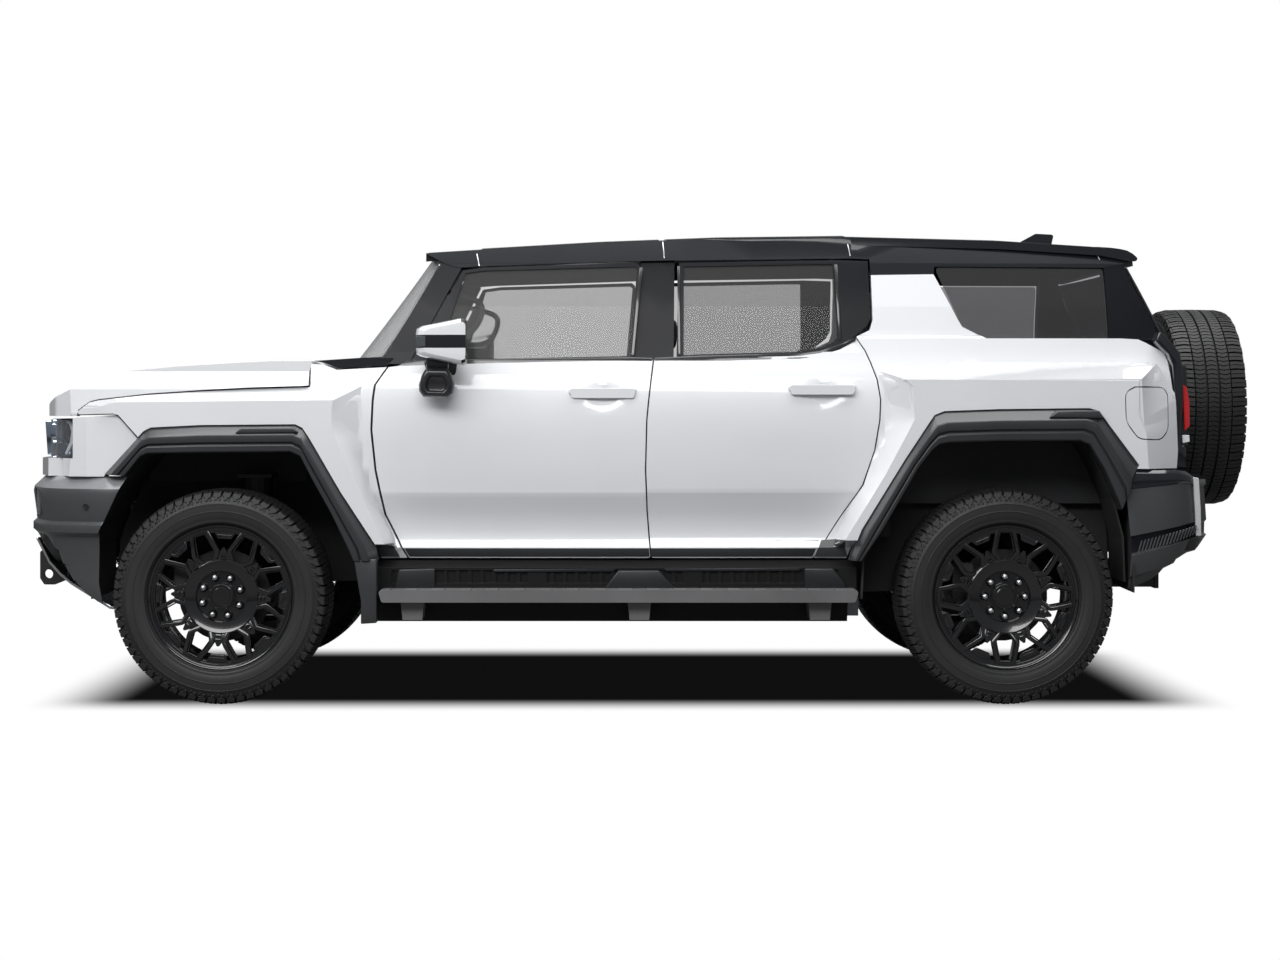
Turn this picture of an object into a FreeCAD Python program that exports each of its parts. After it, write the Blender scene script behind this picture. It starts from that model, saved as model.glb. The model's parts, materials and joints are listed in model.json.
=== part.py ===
# Lifted off-road 4x4 with four doors, a swing gate that carries the spare wheel and big lug tyres.
# Frame: +X forward, +Y to the vehicle's left, +Z up. Origin on the ground, at the middle of its
# length and width. All sizes are millimetres.
import FreeCAD, Part
import math
import os

V = FreeCAD.Vector
X_AXIS = V(1, 0, 0)
Y_AXIS = V(0, 1, 0)
Z_AXIS = V(0, 0, 1)
ORIGIN = V(0, 0, 0)

# Driving dimensions, kept in the document's sheet under these aliases.
SIZES = {
    "wheelbase": 3218,
    "front_axle_x": 1756.5,
    "wheel_centre_y": 922.5,
    "kingpin_y": 790,
    "tyre_radius": 442,
    "tyre_width": 305,
    "bead_radius": 281,
    "rim_radius": 296,
    "rim_width": 262,
    "wheel_face_offset": 118,
    "spoke_count": 8,
    "lug_count": 22,
    "lug_depth": 16,
    "rim_sides": 24,
    "disc_radius": 190,
    "panel_gap": 6,
    "skin_depth": 42,
    "door_depth": 105,
    "glass_thickness": 6,
    "plan_radius": 40000,
    "roof_crown": 38,
    "roof_depth": 34,
    "flare_y": 1100,
    "blister_y": 1066,
    "spare_height": 1220,
    "spare_centre_x": -2474,
    "receiver_bore": 50.8,
    "receiver_wall": 6.35,
    "tow_hook_bore": 40,
    "battery_length": 2050,
    "battery_width": 1300,
    "battery_height": 150,
    "battery_floor": 330,
    "spring_radius": 68,
    "spring_height": 330,
    "arm_thickness": 46,
}

doc = FreeCAD.newDocument("off_road_4x4")
sheet = doc.addObject("Spreadsheet::Sheet", "sizes")
for row, (alias, value) in enumerate(SIZES.items(), start=1):
    sheet.set("A%d" % row, alias)
    sheet.set("B%d" % row, str(value))
    sheet.setAlias("B%d" % row, alias)
doc.recompute()


def size(alias):
    return float(sheet.get(alias))


FRONT_AXLE = size("front_axle_x")
REAR_AXLE = FRONT_AXLE - size("wheelbase")
MIDDLE_X = (FRONT_AXLE + REAR_AXLE) / 2
HUB_Z = size("tyre_radius")
GAP = size("panel_gap")
SIDES = (("left", 1), ("right", -1))
sub_parts = []
made = {}


# Outlines: closed wires with tangent arcs at their corners.

def in_plane(plane, offset):
    return {
        "XZ": lambda a, b: V(a, offset, b),
        "YZ": lambda a, b: V(offset, a, b),
        "XY": lambda a, b: V(a, b, offset),
    }[plane]


def outline(points, radius=0.0, plane="XZ", offset=0.0):
    place = in_plane(plane, offset)
    count = len(points)
    entries = []
    for index in range(count):
        here = V(points[index][0], points[index][1], 0)
        before = V(points[index - 1][0], points[index - 1][1], 0)
        after = V(points[(index + 1) % count][0], points[(index + 1) % count][1], 0)
        corner = points[index][2] if len(points[index]) > 2 else radius
        back = before - here
        ahead = after - here
        half = back.getAngle(ahead) / 2
        reach = corner / math.tan(half) if corner > 0 and half < math.pi / 2 - 0.01 else 0
        reach = min(reach, 0.45 * min(back.Length, ahead.Length))
        if reach < 0.2:
            entries.append((here, None, here))
            continue
        back.normalize()
        ahead.normalize()
        start = here + back * reach
        end = here + ahead * reach
        bisector = (back + ahead).normalize()
        bend = reach * math.tan(half)
        middle = here + bisector * (bend / math.sin(half) - bend)
        entries.append((start, middle, end))
    edges = []
    for index in range(count):
        start, middle, end = entries[index]
        if middle is not None:
            corners = [place(point.x, point.y) for point in (start, middle, end)]
            edges.append(Part.Arc(*corners).toShape())
        following = entries[(index + 1) % count][0]
        if (following - end).Length > 0.01:
            edges.append(Part.makeLine(place(end.x, end.y), place(following.x, following.y)))
    return Part.Wire(edges)


def prism(points, near, far, radius=0.0, plane="XZ"):
    direction = {"XZ": Y_AXIS, "YZ": X_AXIS, "XY": Z_AXIS}[plane]
    face = Part.Face(outline(points, radius, plane, near))
    return face.extrude(direction * (far - near))


def block(low, high):
    corner = V(*low)
    return Part.makeBox(high[0] - low[0], high[1] - low[1], high[2] - low[2], corner)


def tapered(foot, top, foot_y, top_y):
    wires = [outline(foot, 0, "XZ", foot_y), outline(top, 0, "XZ", top_y)]
    return Part.makeLoft(wires, True, True)


def fused(shapes):
    whole = shapes[0]
    if len(shapes) > 1:
        whole = whole.multiFuse(shapes[1:])
    return whole.removeSplitter()


def mirrored(shape):
    return shape.mirror(ORIGIN, Y_AXIS)


def both_sides(shape):
    return Part.makeCompound([shape, mirrored(shape)])


def ring_points(middle_a, middle_b, radius, sides):
    # The corners of a regular outline, turned so that a flat faces straight up.
    points = []
    for index in range(sides):
        angle = 2 * math.pi * (index + 0.5) / sides + math.pi / 2
        points.append((middle_a + radius * math.cos(angle), middle_b + radius * math.sin(angle)))
    return points


def faceted_ring(section, sides, capped=False, plane="XZ"):
    # A section of (along, radius) points carried round the plane's normal in flat facets.
    rings = []
    for along, radius in section:
        place = in_plane(plane, along)
        rings.append([place(a, b) for a, b in ring_points(0, 0, radius, sides)])
    pairs = list(zip(rings, rings[1:]))
    if not capped:
        pairs.append((rings[-1], rings[0]))
    faces = []
    for ring, following in pairs:
        for index in range(sides):
            after = (index + 1) % sides
            corners = [ring[index], ring[after], following[after], following[index]]
            faces.append(Part.Face(Part.makePolygon(corners + corners[:1])))
    if capped:
        for ring in (rings[0], rings[-1]):
            faces.append(Part.Face(Part.makePolygon(ring + ring[:1])))
    solid = Part.Solid(Part.Shell(faces))
    if solid.Volume < 0:
        solid.reverse()
    return solid


def largest(shape):
    return max(shape.Solids, key=lambda solid: solid.Volume)


# Sub-parts of the document.

def feature(label, shape):
    part = doc.addObject("Part::Feature", label)
    part.Label = label
    part.Shape = shape
    sub_parts.append(part)
    made[label] = shape
    return part


def bound(part, **expressions):
    for name, expression in expressions.items():
        part.setExpression(name, expression)
    return part


def origin_item(body, role):
    for item in body.Origin.OriginFeatures:
        if item.Role == role:
            return item
    raise RuntimeError("no " + role)


def sketch_on(body, name, role, geometry):
    sketch = body.newObject("Sketcher::SketchObject", name)
    sketch.AttachmentSupport = [(origin_item(body, role), "")]
    sketch.MapMode = "FlatFace"
    for item in geometry:
        sketch.addGeometry(item, False)
    return sketch


def body_on(label, blank):
    # A body that starts from a blank and is worked on with pads, pockets and patterns.
    base = doc.addObject("Part::Feature", label + "_blank")
    base.Shape = blank
    body = doc.addObject("PartDesign::Body", label)
    body.Label = label
    body.BaseFeature = base
    doc.recompute()
    sub_parts.append(body)
    return body


def repeated(body, name, original, alias):
    pattern = body.newObject("PartDesign::PolarPattern", name)
    pattern.Originals = [original]
    pattern.Axis = (origin_item(body, "Y_Axis"), [""])
    pattern.Angle = 360
    pattern.setExpression("Occurrences", "sizes." + alias)
    body.Tip = pattern
    doc.recompute()
    return pattern


def closed_lines(points):
    corners = [V(a, b, 0) for a, b in points]
    following = corners[1:] + corners[:1]
    return [Part.LineSegment(start, end) for start, end in zip(corners, following)]


# Wheels. Each is made about the Y axis at the origin, outer face towards +Y.

def tyre_section():
    half = size("tyre_width") / 2
    tread = size("tyre_radius") - size("lug_depth")
    bead = size("bead_radius") / math.cos(math.pi / size("lug_count"))
    lip = size("rim_radius") + 8
    one_side = [(half - 36, bead), (half - 36, lip), (half, bead + 66), (half, tread - 44),
                (half - 30, tread)]
    return one_side + [(-along, radius) for along, radius in reversed(one_side)]


def make_tyre(label, placement):
    # A faceted carcass with one flat for each lug, and a bar padded up from it and repeated.
    body = body_on(label, faceted_ring(tyre_section(), int(size("lug_count"))))
    half = size("tyre_width") / 2 - 9
    top = size("tyre_radius")
    low = top - size("lug_depth") - 40
    bar = [(-half, low), (-half, top - 20), (-half + 18, top), (half - 18, top), (half, top - 20),
           (half, low)]
    lug = sketch_on(body, label + "_lug", "YZ_Plane", closed_lines(bar))
    row = body.newObject("PartDesign::Pad", label + "_lug_pad")
    row.Profile = lug
    row.Type = 0
    row.Midplane = True
    row.setExpression("Length", "sizes.tyre_radius * 3.8 / sizes.lug_count")
    doc.recompute()
    repeated(body, label + "_lugs", row, "lug_count")
    body.Placement = placement


def rim_section():
    half = size("rim_width") / 2
    rim = size("rim_radius")
    bead = size("bead_radius") - 1
    face = size("wheel_face_offset")
    return [
        (face - 16, 50),
        (face - 40, 56),
        (face - 40, 104),
        (face - 26, 122),
        (face, rim - 84),
        (face - 6, rim - 30),
        (half, rim - 22),
        (half, rim),
        (half - 12, rim),
        (half - 14, bead),
        (-half + 14, bead),
        (-half + 12, rim),
        (-half, rim),
        (-half, rim - 22),
        (-half + 20, rim - 24),
        (face - 30, rim - 24),
        (face - 46, 150),
        (face - 78, 112),
    ]


def radial(points, angle):
    turned = []
    for along, across in points:
        turned.append((along * math.cos(angle) - across * math.sin(angle),
                       along * math.sin(angle) + across * math.cos(angle)))
    return turned


def make_rim(label, placement, turn):
    # Eight spokes, each with a long six-sided window, and a forked opening between neighbours.
    body = body_on(label, faceted_ring(rim_section(), int(size("rim_sides")), True))
    step = 2 * math.pi / size("spoke_count")
    petal = [(134, -12), (158, -27), (252, -31), (264, -18), (264, 18), (252, 31), (158, 27), (134, 12)]
    fork = [(190, 0), (248, -44), (262, -16), (262, 16), (248, 44)]
    bolt = [(74, -8), (91, -8), (91, 8), (74, 8)]
    windows = (
        ("petal", radial(petal, math.pi / 2 + turn), 200, 0),
        ("fork", radial(fork, math.pi / 2 + turn + step / 2), 200, 0),
        ("bolt", radial(bolt, math.pi / 2 + turn), 44, size("wheel_face_offset") - 62),
    )
    for name, corners, depth, outward in windows:
        hole = sketch_on(body, label + "_" + name, "XZ_Plane", closed_lines(corners))
        hole.AttachmentOffset = FreeCAD.Placement(V(0, 0, -outward), FreeCAD.Rotation())
        cut = body.newObject("PartDesign::Pocket", label + "_" + name + "_cut")
        cut.Profile = hole
        cut.Type = 0
        cut.Length = depth
        doc.recompute()
        repeated(body, label + "_" + name + "_pattern", cut, "spoke_count")
    body.Placement = placement


def wheel_place(x, y):
    outward = FreeCAD.Rotation() if y > 0 else FreeCAD.Rotation(Z_AXIS, 180)
    return FreeCAD.Placement(V(x, y, HUB_Z), outward)


AXLES = (("front", FRONT_AXLE), ("rear", REAR_AXLE))


def build_wheels():
    for axle, x in AXLES:
        turn = math.radians(26) if axle == "front" else 0
        for side, sign in SIDES:
            place = wheel_place(x, sign * size("wheel_centre_y"))
            make_tyre("%s_tyre_%s" % (axle, side), place)
            make_rim("%s_rim_%s" % (axle, side), place, turn)
            build_knuckle("%s_knuckle_%s" % (axle, side), x, sign)
    back = FreeCAD.Placement(V(size("spare_centre_x"), 0, size("spare_height")),
                             FreeCAD.Rotation(Z_AXIS, 90))
    make_tyre("spare_tyre", back)
    make_rim("spare_rim", back, 0)


def build_knuckle(label, x, sign):
    # Upright with its hub, upper and lower bosses on the steering axis, a steering arm and a caliper.
    pin = size("kingpin_y")
    inner_face = size("wheel_centre_y") + size("wheel_face_offset") - 78
    hub = prism(ring_points(x, HUB_Z, 62, 16), pin - 40, inner_face - 6)
    disc = prism(ring_points(x, HUB_Z, size("disc_radius"), 32), inner_face - 60, inner_face - 30)
    post = prism([(x - 42, HUB_Z - 135), (x + 42, HUB_Z - 135), (x + 56, HUB_Z), (x + 36, HUB_Z + 150),
                  (x - 36, HUB_Z + 150), (x - 56, HUB_Z)], pin - 32, pin + 32)
    arm = block((x - 150, pin - 60, HUB_Z - 20), (x - 30, pin - 20, HUB_Z + 15))
    caliper = block((x + 120, inner_face - 95, HUB_Z - 10), (x + 205, inner_face - 10, HUB_Z + 135))
    bridge = block((x + 20, pin - 20, HUB_Z + 20), (x + 140, pin + 30, HUB_Z + 90))
    whole = fused([hub, disc, post, arm, bridge, caliper])
    feature(label, whole if sign > 0 else mirrored(whole))


# Body surfaces. Both sections give (Y, Z) down the left side at the middle of the wheelbase, and
# both are swung along a large plan radius, so that the body draws in a little towards its ends.

LOWER_SECTION = [(938, 300), (940, 596), (962, 640), (944, 700), (950, 760), (992, 868), (1003, 1100),
                 (990, 1290), (955, 1375), (915, 1520)]
UPPER_SECTION = [(926, 1380), (905, 1450), (864, 1640), (800, 1825), (742, 1940), (722, 1960)]


def side_slab(section, outer, inner, ahead=2500, behind=-2500, radius=26):
    # The wall between two depths below the outer surface, from one station to another.
    reach = size("plan_radius")
    skin = [(y - outer, z, radius) for y, z in section]
    back = [(y - inner, z, 0) for y, z in reversed(section)]
    loop = outline(skin + back, 0, "YZ", MIDDLE_X)
    centre = V(MIDDLE_X, skin[4][0] - reach, 0)
    start = math.degrees((behind - MIDDLE_X) / reach)
    sweep = math.degrees((ahead - behind) / reach)
    face = Part.Face(loop)
    face.rotate(centre, Z_AXIS, -start)
    return face.revolve(centre, Z_AXIS, -sweep)


def slab_panel(section, points, outer, inner, radius=0.0, soft=26):
    across = [point[0] for point in points]
    wall = side_slab(section, outer, inner, max(across) + 60, min(across) - 60, soft)
    return wall.common(prism(points, 500, 1200, radius))


# Side view outlines, as (X, Z).

BELT = [(1038, 1390), (616, 1403), (-35, 1415), (-213, 1421), (-627, 1432), (-710, 1444), (-793, 1469),
        (-863, 1502)]
FRONT_CUT = [(1078, 1385), (1128, 1311), (1136, 1249), (1141, 1126), (1124, 961), (1087, 775),
             (1025, 652), (994, 596)]
CENTRE_CUT = [(-20, 1415), (-9, 1332), (1, 1249), (9, 1167), (14, 961), (7, 796), (-3, 668),
              (-10, 596)]
REAR_CUT = [(-863, 1502), (-894, 1455), (-915, 1406), (-940, 1332), (-952, 1249), (-948, 1167),
            (-927, 1043), (-878, 899), (-787, 763), (-717, 652), (-680, 596)]
HOOD_CUT = [(2352, 1183), (2344, 1208), (2294, 1245), (2261, 1253), (2055, 1276), (1849, 1290),
            (1643, 1301), (1437, 1307), (1402, 1309)]
FRONT_FLARE = [(2226, 944), (2065, 1122), (2036, 1137), (1832, 1147), (1445, 1150), (1416, 1135),
               (1384, 1086), (1261, 874), (1119, 658), (1107, 594)]
FRONT_ARCH = [(2165, 882), (2136, 939), (2075, 1017), (2047, 1029), (1831, 1033), (1464, 1036),
              (1423, 1017), (1342, 862), (1260, 719), (1211, 594)]
REAR_FLARE = [(-818, 594), (-867, 719), (-1043, 1004), (-1124, 1127), (-1165, 1188), (-1206, 1204),
              (-1430, 1212), (-1797, 1216), (-1838, 1204), (-1879, 1147), (-2001, 984), (-1981, 947)]
REAR_ARCH = [(-866, 594), (-919, 658), (-1021, 842), (-1123, 1013), (-1184, 1066), (-1225, 1074),
             (-1428, 1080), (-1754, 1082), (-1795, 1066), (-1856, 964), (-1909, 842), (-1937, 679),
             (-1925, 594)]


def arch_opening(points, floor_z=100):
    return prism([(points[0][0], floor_z)] + points + [(points[-1][0], floor_z)], 480, 1300)


# Blisters over the wheels: flat-topped, faceted swellings that carry the flares.

FRONT_FOOT = [(1156, 1322), (1132, 1100), (1118, 640), (2420, 640), (2420, 1262), (2240, 1300)]
FRONT_CREST = [(1291, 1249), (1299, 1126), (1166, 680), (2380, 680), (2330, 1200), (2180, 1236)]
REAR_FOOT = [(-945, 1372), (-962, 1167), (-790, 640), (-2190, 640), (-2190, 1250), (-2100, 1400)]
REAR_CREST = [(-1053, 1331), (-1086, 1167), (-842, 690), (-2060, 690), (-2020, 1170), (-2012, 1335)]


def blister(foot, crest):
    return tapered(foot, crest, 955, size("blister_y"))


# Plan view of the nose and the tail: straight across the middle, drawn in at the corners.

def nose_plan(front, back=900.0, grow=0.0):
    half = [(back, 1120 + grow), (front - 420, 1100 + grow), (front - 190, 1020 + grow),
            (front - 95, 935 + grow), (front - 30, 770 + grow), (front, 600 + grow)]
    return half + [(x, -y) for x, y in reversed(half)]


def tail_plan(rear, front=-500.0, grow=0.0):
    half = [(front, 1120 + grow), (rear + 260, 1090 + grow), (rear + 90, 1000 + grow),
            (rear + 30, 860 + grow), (rear, 640 + grow)]
    return half + [(x, -y) for x, y in reversed(half)]


def build_fenders():
    # The fender also fills the corner under the cowl, behind the hood's rear edge.
    top = [(x, z - GAP) for x, z in HOOD_CUT[1:-1]] + [(1396, 1303), (1396, 1398), (1346, 1396),
                                                       (1290, 1374)]
    back = [(x + GAP, z) for x, z in FRONT_CUT]
    fascia = [(2088, 1098), (2168, 1188), (2190, 1194), (2338, 1190)]
    side = top + back + FRONT_FLARE[:0:-1] + fascia
    wall = fused([side_slab(LOWER_SECTION, 0, size("skin_depth"), 2500, 900),
                  blister(FRONT_FOOT, FRONT_CREST)])
    left = wall.common(prism(side, 500, 1300)).common(prism(nose_plan(2545), 0, 1400, 0, "XY"))
    feature("front_fenders", both_sides(left))


def build_quarters():
    front = [(x - GAP, z) for x, z in REAR_CUT]
    pillar = [(-863, 1512), (-923, 1541), (-936, 1583), (-936, 1774), (-1200, 1778), (-1294, 1584),
              (-1311, 1555), (-1407, 1506), (-1969, 1506), (-2044, 1502), (-2073, 1489), (-2147, 1448),
              (-2160, 1415), (-2176, 1249), (-2186, 1043), (-2180, 968), (-1992, 968)]
    side = front[::-1] + pillar + REAR_FLARE[-2::-1]
    wall = fused([side_slab(LOWER_SECTION, 0, size("skin_depth"), -600, -2500),
                  side_slab(UPPER_SECTION, 0, size("skin_depth"), -600, -2500),
                  blister(REAR_FOOT, REAR_CREST)])
    left = wall.common(prism(side, 500, 1300)).common(prism(tail_plan(-2290), 0, 2000, 0, "XY"))
    left = left.cut(made["arch_flares"])
    inside = left.translated(V(0, -60, 0))
    pocket = left.cut(charge_pocket().cut(inside))
    feature("rear_quarters", Part.makeCompound([pocket, mirrored(left)]))
    flap = left.common(prism(CHARGE_FLAP, 960, 1200, 44))
    feature("charge_flap", largest(flap.cut(left.translated(V(0, -24, 0)))))


CHARGE_FLAP = [(-1946, 1280), (-1985, 1300), (-2120, 1300), (-2136, 1270), (-2136, 1126), (-2102, 1088),
               (-1999, 1092), (-1950, 1160)]


def charge_pocket():
    middle = V(-2043, 0, 1196)
    wider = []
    for x, z in CHARGE_FLAP:
        out = V(x - middle.x, z - middle.z, 0)
        out.normalize()
        wider.append((x + out.x * GAP, z + out.y * GAP))
    return prism(wider, 940, 1200, 46)


def door_shape(side, inner_side):
    skin = slab_panel(LOWER_SECTION, side, 0, size("skin_depth"), 8)
    trim = slab_panel(LOWER_SECTION, inner_side, size("skin_depth") - 4, size("door_depth"), 30, 0)
    return fused([skin, trim])


def door_handle(shape, rear_x, z):
    # A flush grip over a scooped recess.
    length = 270
    scoop = prism([(rear_x + 30, z - 45), (rear_x + length - 40, z - 45), (rear_x + length, z + 20),
                   (rear_x, z + 20)], 985, 1050, 20)
    grip = prism([(rear_x + 6, z - 12), (rear_x + length - 10, z - 12), (rear_x + length + 4, z + 26),
                  (rear_x - 4, z + 26)], 975, 1009, 12)
    return fused([shape.cut(scoop), grip])


def build_doors():
    half = GAP / 2
    front_edge = [(x - half, z) for x, z in FRONT_CUT]
    middle_front = [(x + half, z) for x, z in CENTRE_CUT]
    middle_rear = [(x - half, z) for x, z in CENTRE_CUT]
    rear_edge = [(x, z) for x, z in REAR_CUT]
    front_side = front_edge + middle_front[::-1] + [(616, 1403), (1034, 1390)]
    rear_side = middle_rear + rear_edge[::-1] + [(-793, 1469), (-710, 1444), (-627, 1432), (-213, 1421)]
    front_trim = [(1030, 1300), (1050, 1126), (1030, 961), (960, 760), (900, 690), (110, 690),
                  (110, 1380), (990, 1360)]
    rear_trim = [(-110, 1380), (-110, 690), (-640, 690), (-760, 860), (-850, 1060), (-868, 1249),
                 (-840, 1380), (-640, 1385)]
    front_door = door_handle(door_shape(front_side, front_trim), 57, 1270)
    rear_door = door_handle(door_shape(rear_side, rear_trim), -847, 1284)
    feature("front_door_left", front_door)
    feature("front_door_right", mirrored(front_door))
    feature("rear_door_left", rear_door)
    feature("rear_door_right", mirrored(rear_door))


def build_door_glass():
    depth = size("glass_thickness")
    front_pane = [(985, 1393), (962, 1440), (777, 1794), (690, 1806), (47, 1826), (32, 1812),
                  (72, 1414), (616, 1404)]
    rear_pane = [(-116, 1419), (-130, 1826), (-790, 1838), (-924, 1834), (-928, 1590), (-908, 1555),
                 (-856, 1513), (-793, 1472), (-710, 1445), (-627, 1433), (-213, 1422)]
    for name, points in (("front", front_pane), ("rear", rear_pane)):
        pane = slab_panel(UPPER_SECTION, points, 4, 4 + depth, 14)
        feature(name + "_door_glass_left", pane)
        feature(name + "_door_glass_right", mirrored(pane))


def build_mirrors():
    shell = prism([(770, 1403), (944, 1419), (944, 1540), (925, 1552), (775, 1585), (757, 1566)],
                  985, 1188, 26)
    shell = shell.common(prism([(970, 1600), (770, 1600), (740, 1380), (970, 1380)], 900, 1300))
    nose = prism([(985, 1400), (1188, 1430), (1188, 1560), (985, 1600)], 730, 950, 30, "YZ")
    plan = prism([(748, 985), (895, 985), (948, 1030), (930, 1150), (820, 1188), (748, 1180)],
                 1200, 1700, 24, "XY")
    shell = shell.common(nose).common(plan)
    hollow = prism([(1010, 1428), (1166, 1448), (1166, 1540), (1010, 1565)], 740, 764, 18, "YZ")
    arm = prism([(800, 1300), (905, 1300), (925, 1392), (928, 1414), (784, 1410), (790, 1380)],
                930, 1040, 10)
    pod = prism([(792, 1330), (806, 1262), (930, 1252), (922, 1300), (900, 1340)], 1030, 1110, 18)
    link = prism([(796, 1322), (900, 1322), (905, 1398), (792, 1398)], 1030, 1080, 8)
    mirror = fused([shell.cut(hollow), arm, link, pod])
    mirror = largest(mirror.cut(made["front_door_left"]).cut(made["front_door_glass_left"]))
    feature("mirror_left", mirror)
    feature("mirror_right", mirrored(mirror))


def hood_shape():
    # A broad skin with a raised middle between two channels, bent down at the sides and the nose.
    top = [(2552, 1183), (2548, 1214), (2505, 1243), (2411, 1280), (2285, 1332), (2159, 1368),
           (1970, 1388), (1717, 1405), (1430, 1420), (1404, 1404)]
    cut = HOOD_CUT[::-1]
    across = [(-1010, 1160), (-1003, 1285), (-955, 1352), (-800, 1398), (-560, 1402), (-520, 1388),
              (-380, 1388), (-330, 1408), (330, 1408), (380, 1388), (520, 1388), (560, 1402),
              (800, 1398), (955, 1352), (1003, 1285), (1010, 1160)]
    lifted = [(y, z + 14) for y, z in across]
    inner_across = [(y * 0.955, z - 22) for y, z in lifted]
    inner_across[0] = (-965, 1000)
    inner_across[-1] = (965, 1000)
    outer = prism(top + cut, -1010, 1010).common(prism(lifted, 1250, 2600, 22, "YZ"))
    outer = outer.common(prism(nose_plan(2552), 900, 1600, 70, "XY"))
    inner_top = [(2515, 1100), (2512, 1200), (2480, 1222), (2396, 1252), (2275, 1302), (2152, 1338),
                 (1966, 1358), (1715, 1375), (1420, 1390), (1250, 1380), (1250, 1100)]
    hollow = prism(inner_top, -1010, 1010).common(prism(inner_across, 1200, 2600, 16, "YZ"))
    hollow = hollow.common(prism(nose_plan(2552 - 40, 900, -44), 900, 1600, 60, "XY"))
    skin = outer.cut(hollow)
    ribs = [block((1480, y - 30, 1330), (2180, y + 30, 1384)) for y in (-600, 0, 600)]
    frame = [rib.common(outer) for rib in ribs]
    return fused([skin] + frame)


def build_hood():
    feature("hood", hood_shape())


def build_nose():
    # White corners that wrap round the lamps and meet in a bar under them.
    side = [(2094, 1092), (2168, 1182), (2190, 1187), (2345, 1177), (2560, 1170), (2600, 1170),
            (2600, 936), (2232, 936)]
    body = prism(side, -1050, 1050).common(prism(nose_plan(2580), 900, 1300, 60, "XY"))
    outer_wall = fused([side_slab(LOWER_SECTION, 0, 300, 2620, 1900),
                        mirrored(side_slab(LOWER_SECTION, 0, 300, 2620, 1900)),
                        block((2000, -760, 700), (2620, 760, 1400)),
                        blister(FRONT_FOOT, FRONT_CREST), mirrored(blister(FRONT_FOOT, FRONT_CREST))])
    body = body.common(outer_wall)
    hollow = prism(nose_plan(2500, 1000, -75), 900, 1400, 40, "XY")
    body = body.cut(hollow)
    slot = prism([(2340, 1010), (2478, 1010), (2700, 1003), (2700, 1186), (2362, 1186), (2362, 1090)],
                 -1100, 1100)
    slot = slot.cut(block((2300, 925, 900), (2363, 1100, 1300)))
    arch = both_sides(arch_opening(FRONT_ARCH))
    body = body.cut(slot).cut(arch).cut(made["arch_flares"]).cut(made["front_fenders"])
    feature("front_fascia", body)
    band_side = [(2440, 1014), (2700, 1014), (2700, 1166), (2440, 1166)]
    band = prism(band_side, -640, 640).common(prism(nose_plan(2552), 900, 1300, 60, "XY"))
    for index in range(6):
        middle = (index - 2.5) * 196
        band = band.cut(block((2505, middle - 84, 1040), (2700, middle + 84, 1140)))
    feature("grille_band", band)
    lights = [block((2506, (index - 2.5) * 196 - 80, 1044), (2534, (index - 2.5) * 196 + 80, 1136))
              for index in range(6)]
    fog = block((2525, 715, 775), (2548, 872, 880))
    feature("front_lights", Part.makeCompound(lights + [fog, mirrored(fog)]))
    lamp_side = [(2368, 1014), (2700, 1014), (2700, 1168), (2368, 1168)]
    lamp = prism(lamp_side, 648, 960).common(prism(nose_plan(2546, 1000, -6), 900, 1300, 60, "XY"))
    lamp = lamp.cut(prism(nose_plan(2440, 1000, -130), 900, 1300, 40, "XY"))
    feature("head_lamps", both_sides(lamp))


def build_front_bumper():
    side = [(2140, 928), (2555, 928), (2600, 893), (2626.5, 868), (2606, 741), (2592, 656),
            (2542, 571), (2496, 520), (2451, 482), (2281, 378), (2240, 378), (2180, 420)]
    body = prism(side, -1100, 1100, 8).common(prism(nose_plan(2626.5), 300, 1000, 50, "XY"))
    hollow = prism([(2000, 850), (2540, 850), (2540, 640), (2420, 520), (2300, 450), (2000, 420)],
                   -1100, 1100)
    hollow = hollow.common(prism(nose_plan(2560, 1000, -70), 300, 1000, 50, "XY"))
    top_well = prism([(2000, 1000), (2455, 1000), (2455, 800), (2000, 800)], -930, 930)
    wheel_well = prism([(1900, 1000), (2176, 1000), (2182, 920), (2274, 724), (2298, 640),
                        (2298, 300), (1900, 300)], -1300, 1300)
    body = body.cut(hollow).cut(top_well).cut(wheel_well)
    lamp_recess = block((2525, 690, 762), (2700, 900, 892))
    intake = prism([(-560, 640), (560, 640), (500, 812), (-500, 812)], 2400, 2700, 30, "YZ")
    groove = prism([(-640, 830), (640, 830), (640, 852), (-640, 852)], 2600, 2700, 0, "YZ")
    lower = prism([(-420, 500), (420, 500), (470, 600), (-470, 600)], 2400, 2700, 20, "YZ")
    side_step = block((2280, 985, 690), (2700, 1200, 742))
    body = body.cut(both_sides(lamp_recess)).cut(intake).cut(groove).cut(lower)
    body = body.cut(both_sides(side_step))
    grille = [block((2500, -540, z), (2515, 540, z + 20)) for z in (665, 705, 745, 785)]
    posts = [block((2497, y - 8, 640), (2512, y + 8, 820)) for y in (-360, -120, 120, 360)]
    whole = fused([body] + grille + posts).cut(made["tow_hooks"]).cut(made["arch_flares"])
    feature("front_bumper", largest(whole))
    skid_side = [(2600, 664), (2548, 562), (2502, 511), (2457, 473), (2290, 370), (2240, 362),
                 (2240, 352), (2296, 358), (2463, 463), (2510, 502), (2556, 553), (2612, 662)]
    skid = prism(skid_side, -640, 640).common(prism(nose_plan(2620), 300, 1000, 40, "XY"))
    window = prism([(-380, 470), (380, 470), (430, 600), (-430, 600)], 2300, 2700, 20, "YZ")
    feature("front_skid_plate", skid.cut(window).cut(made["tow_hooks"]))


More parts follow.
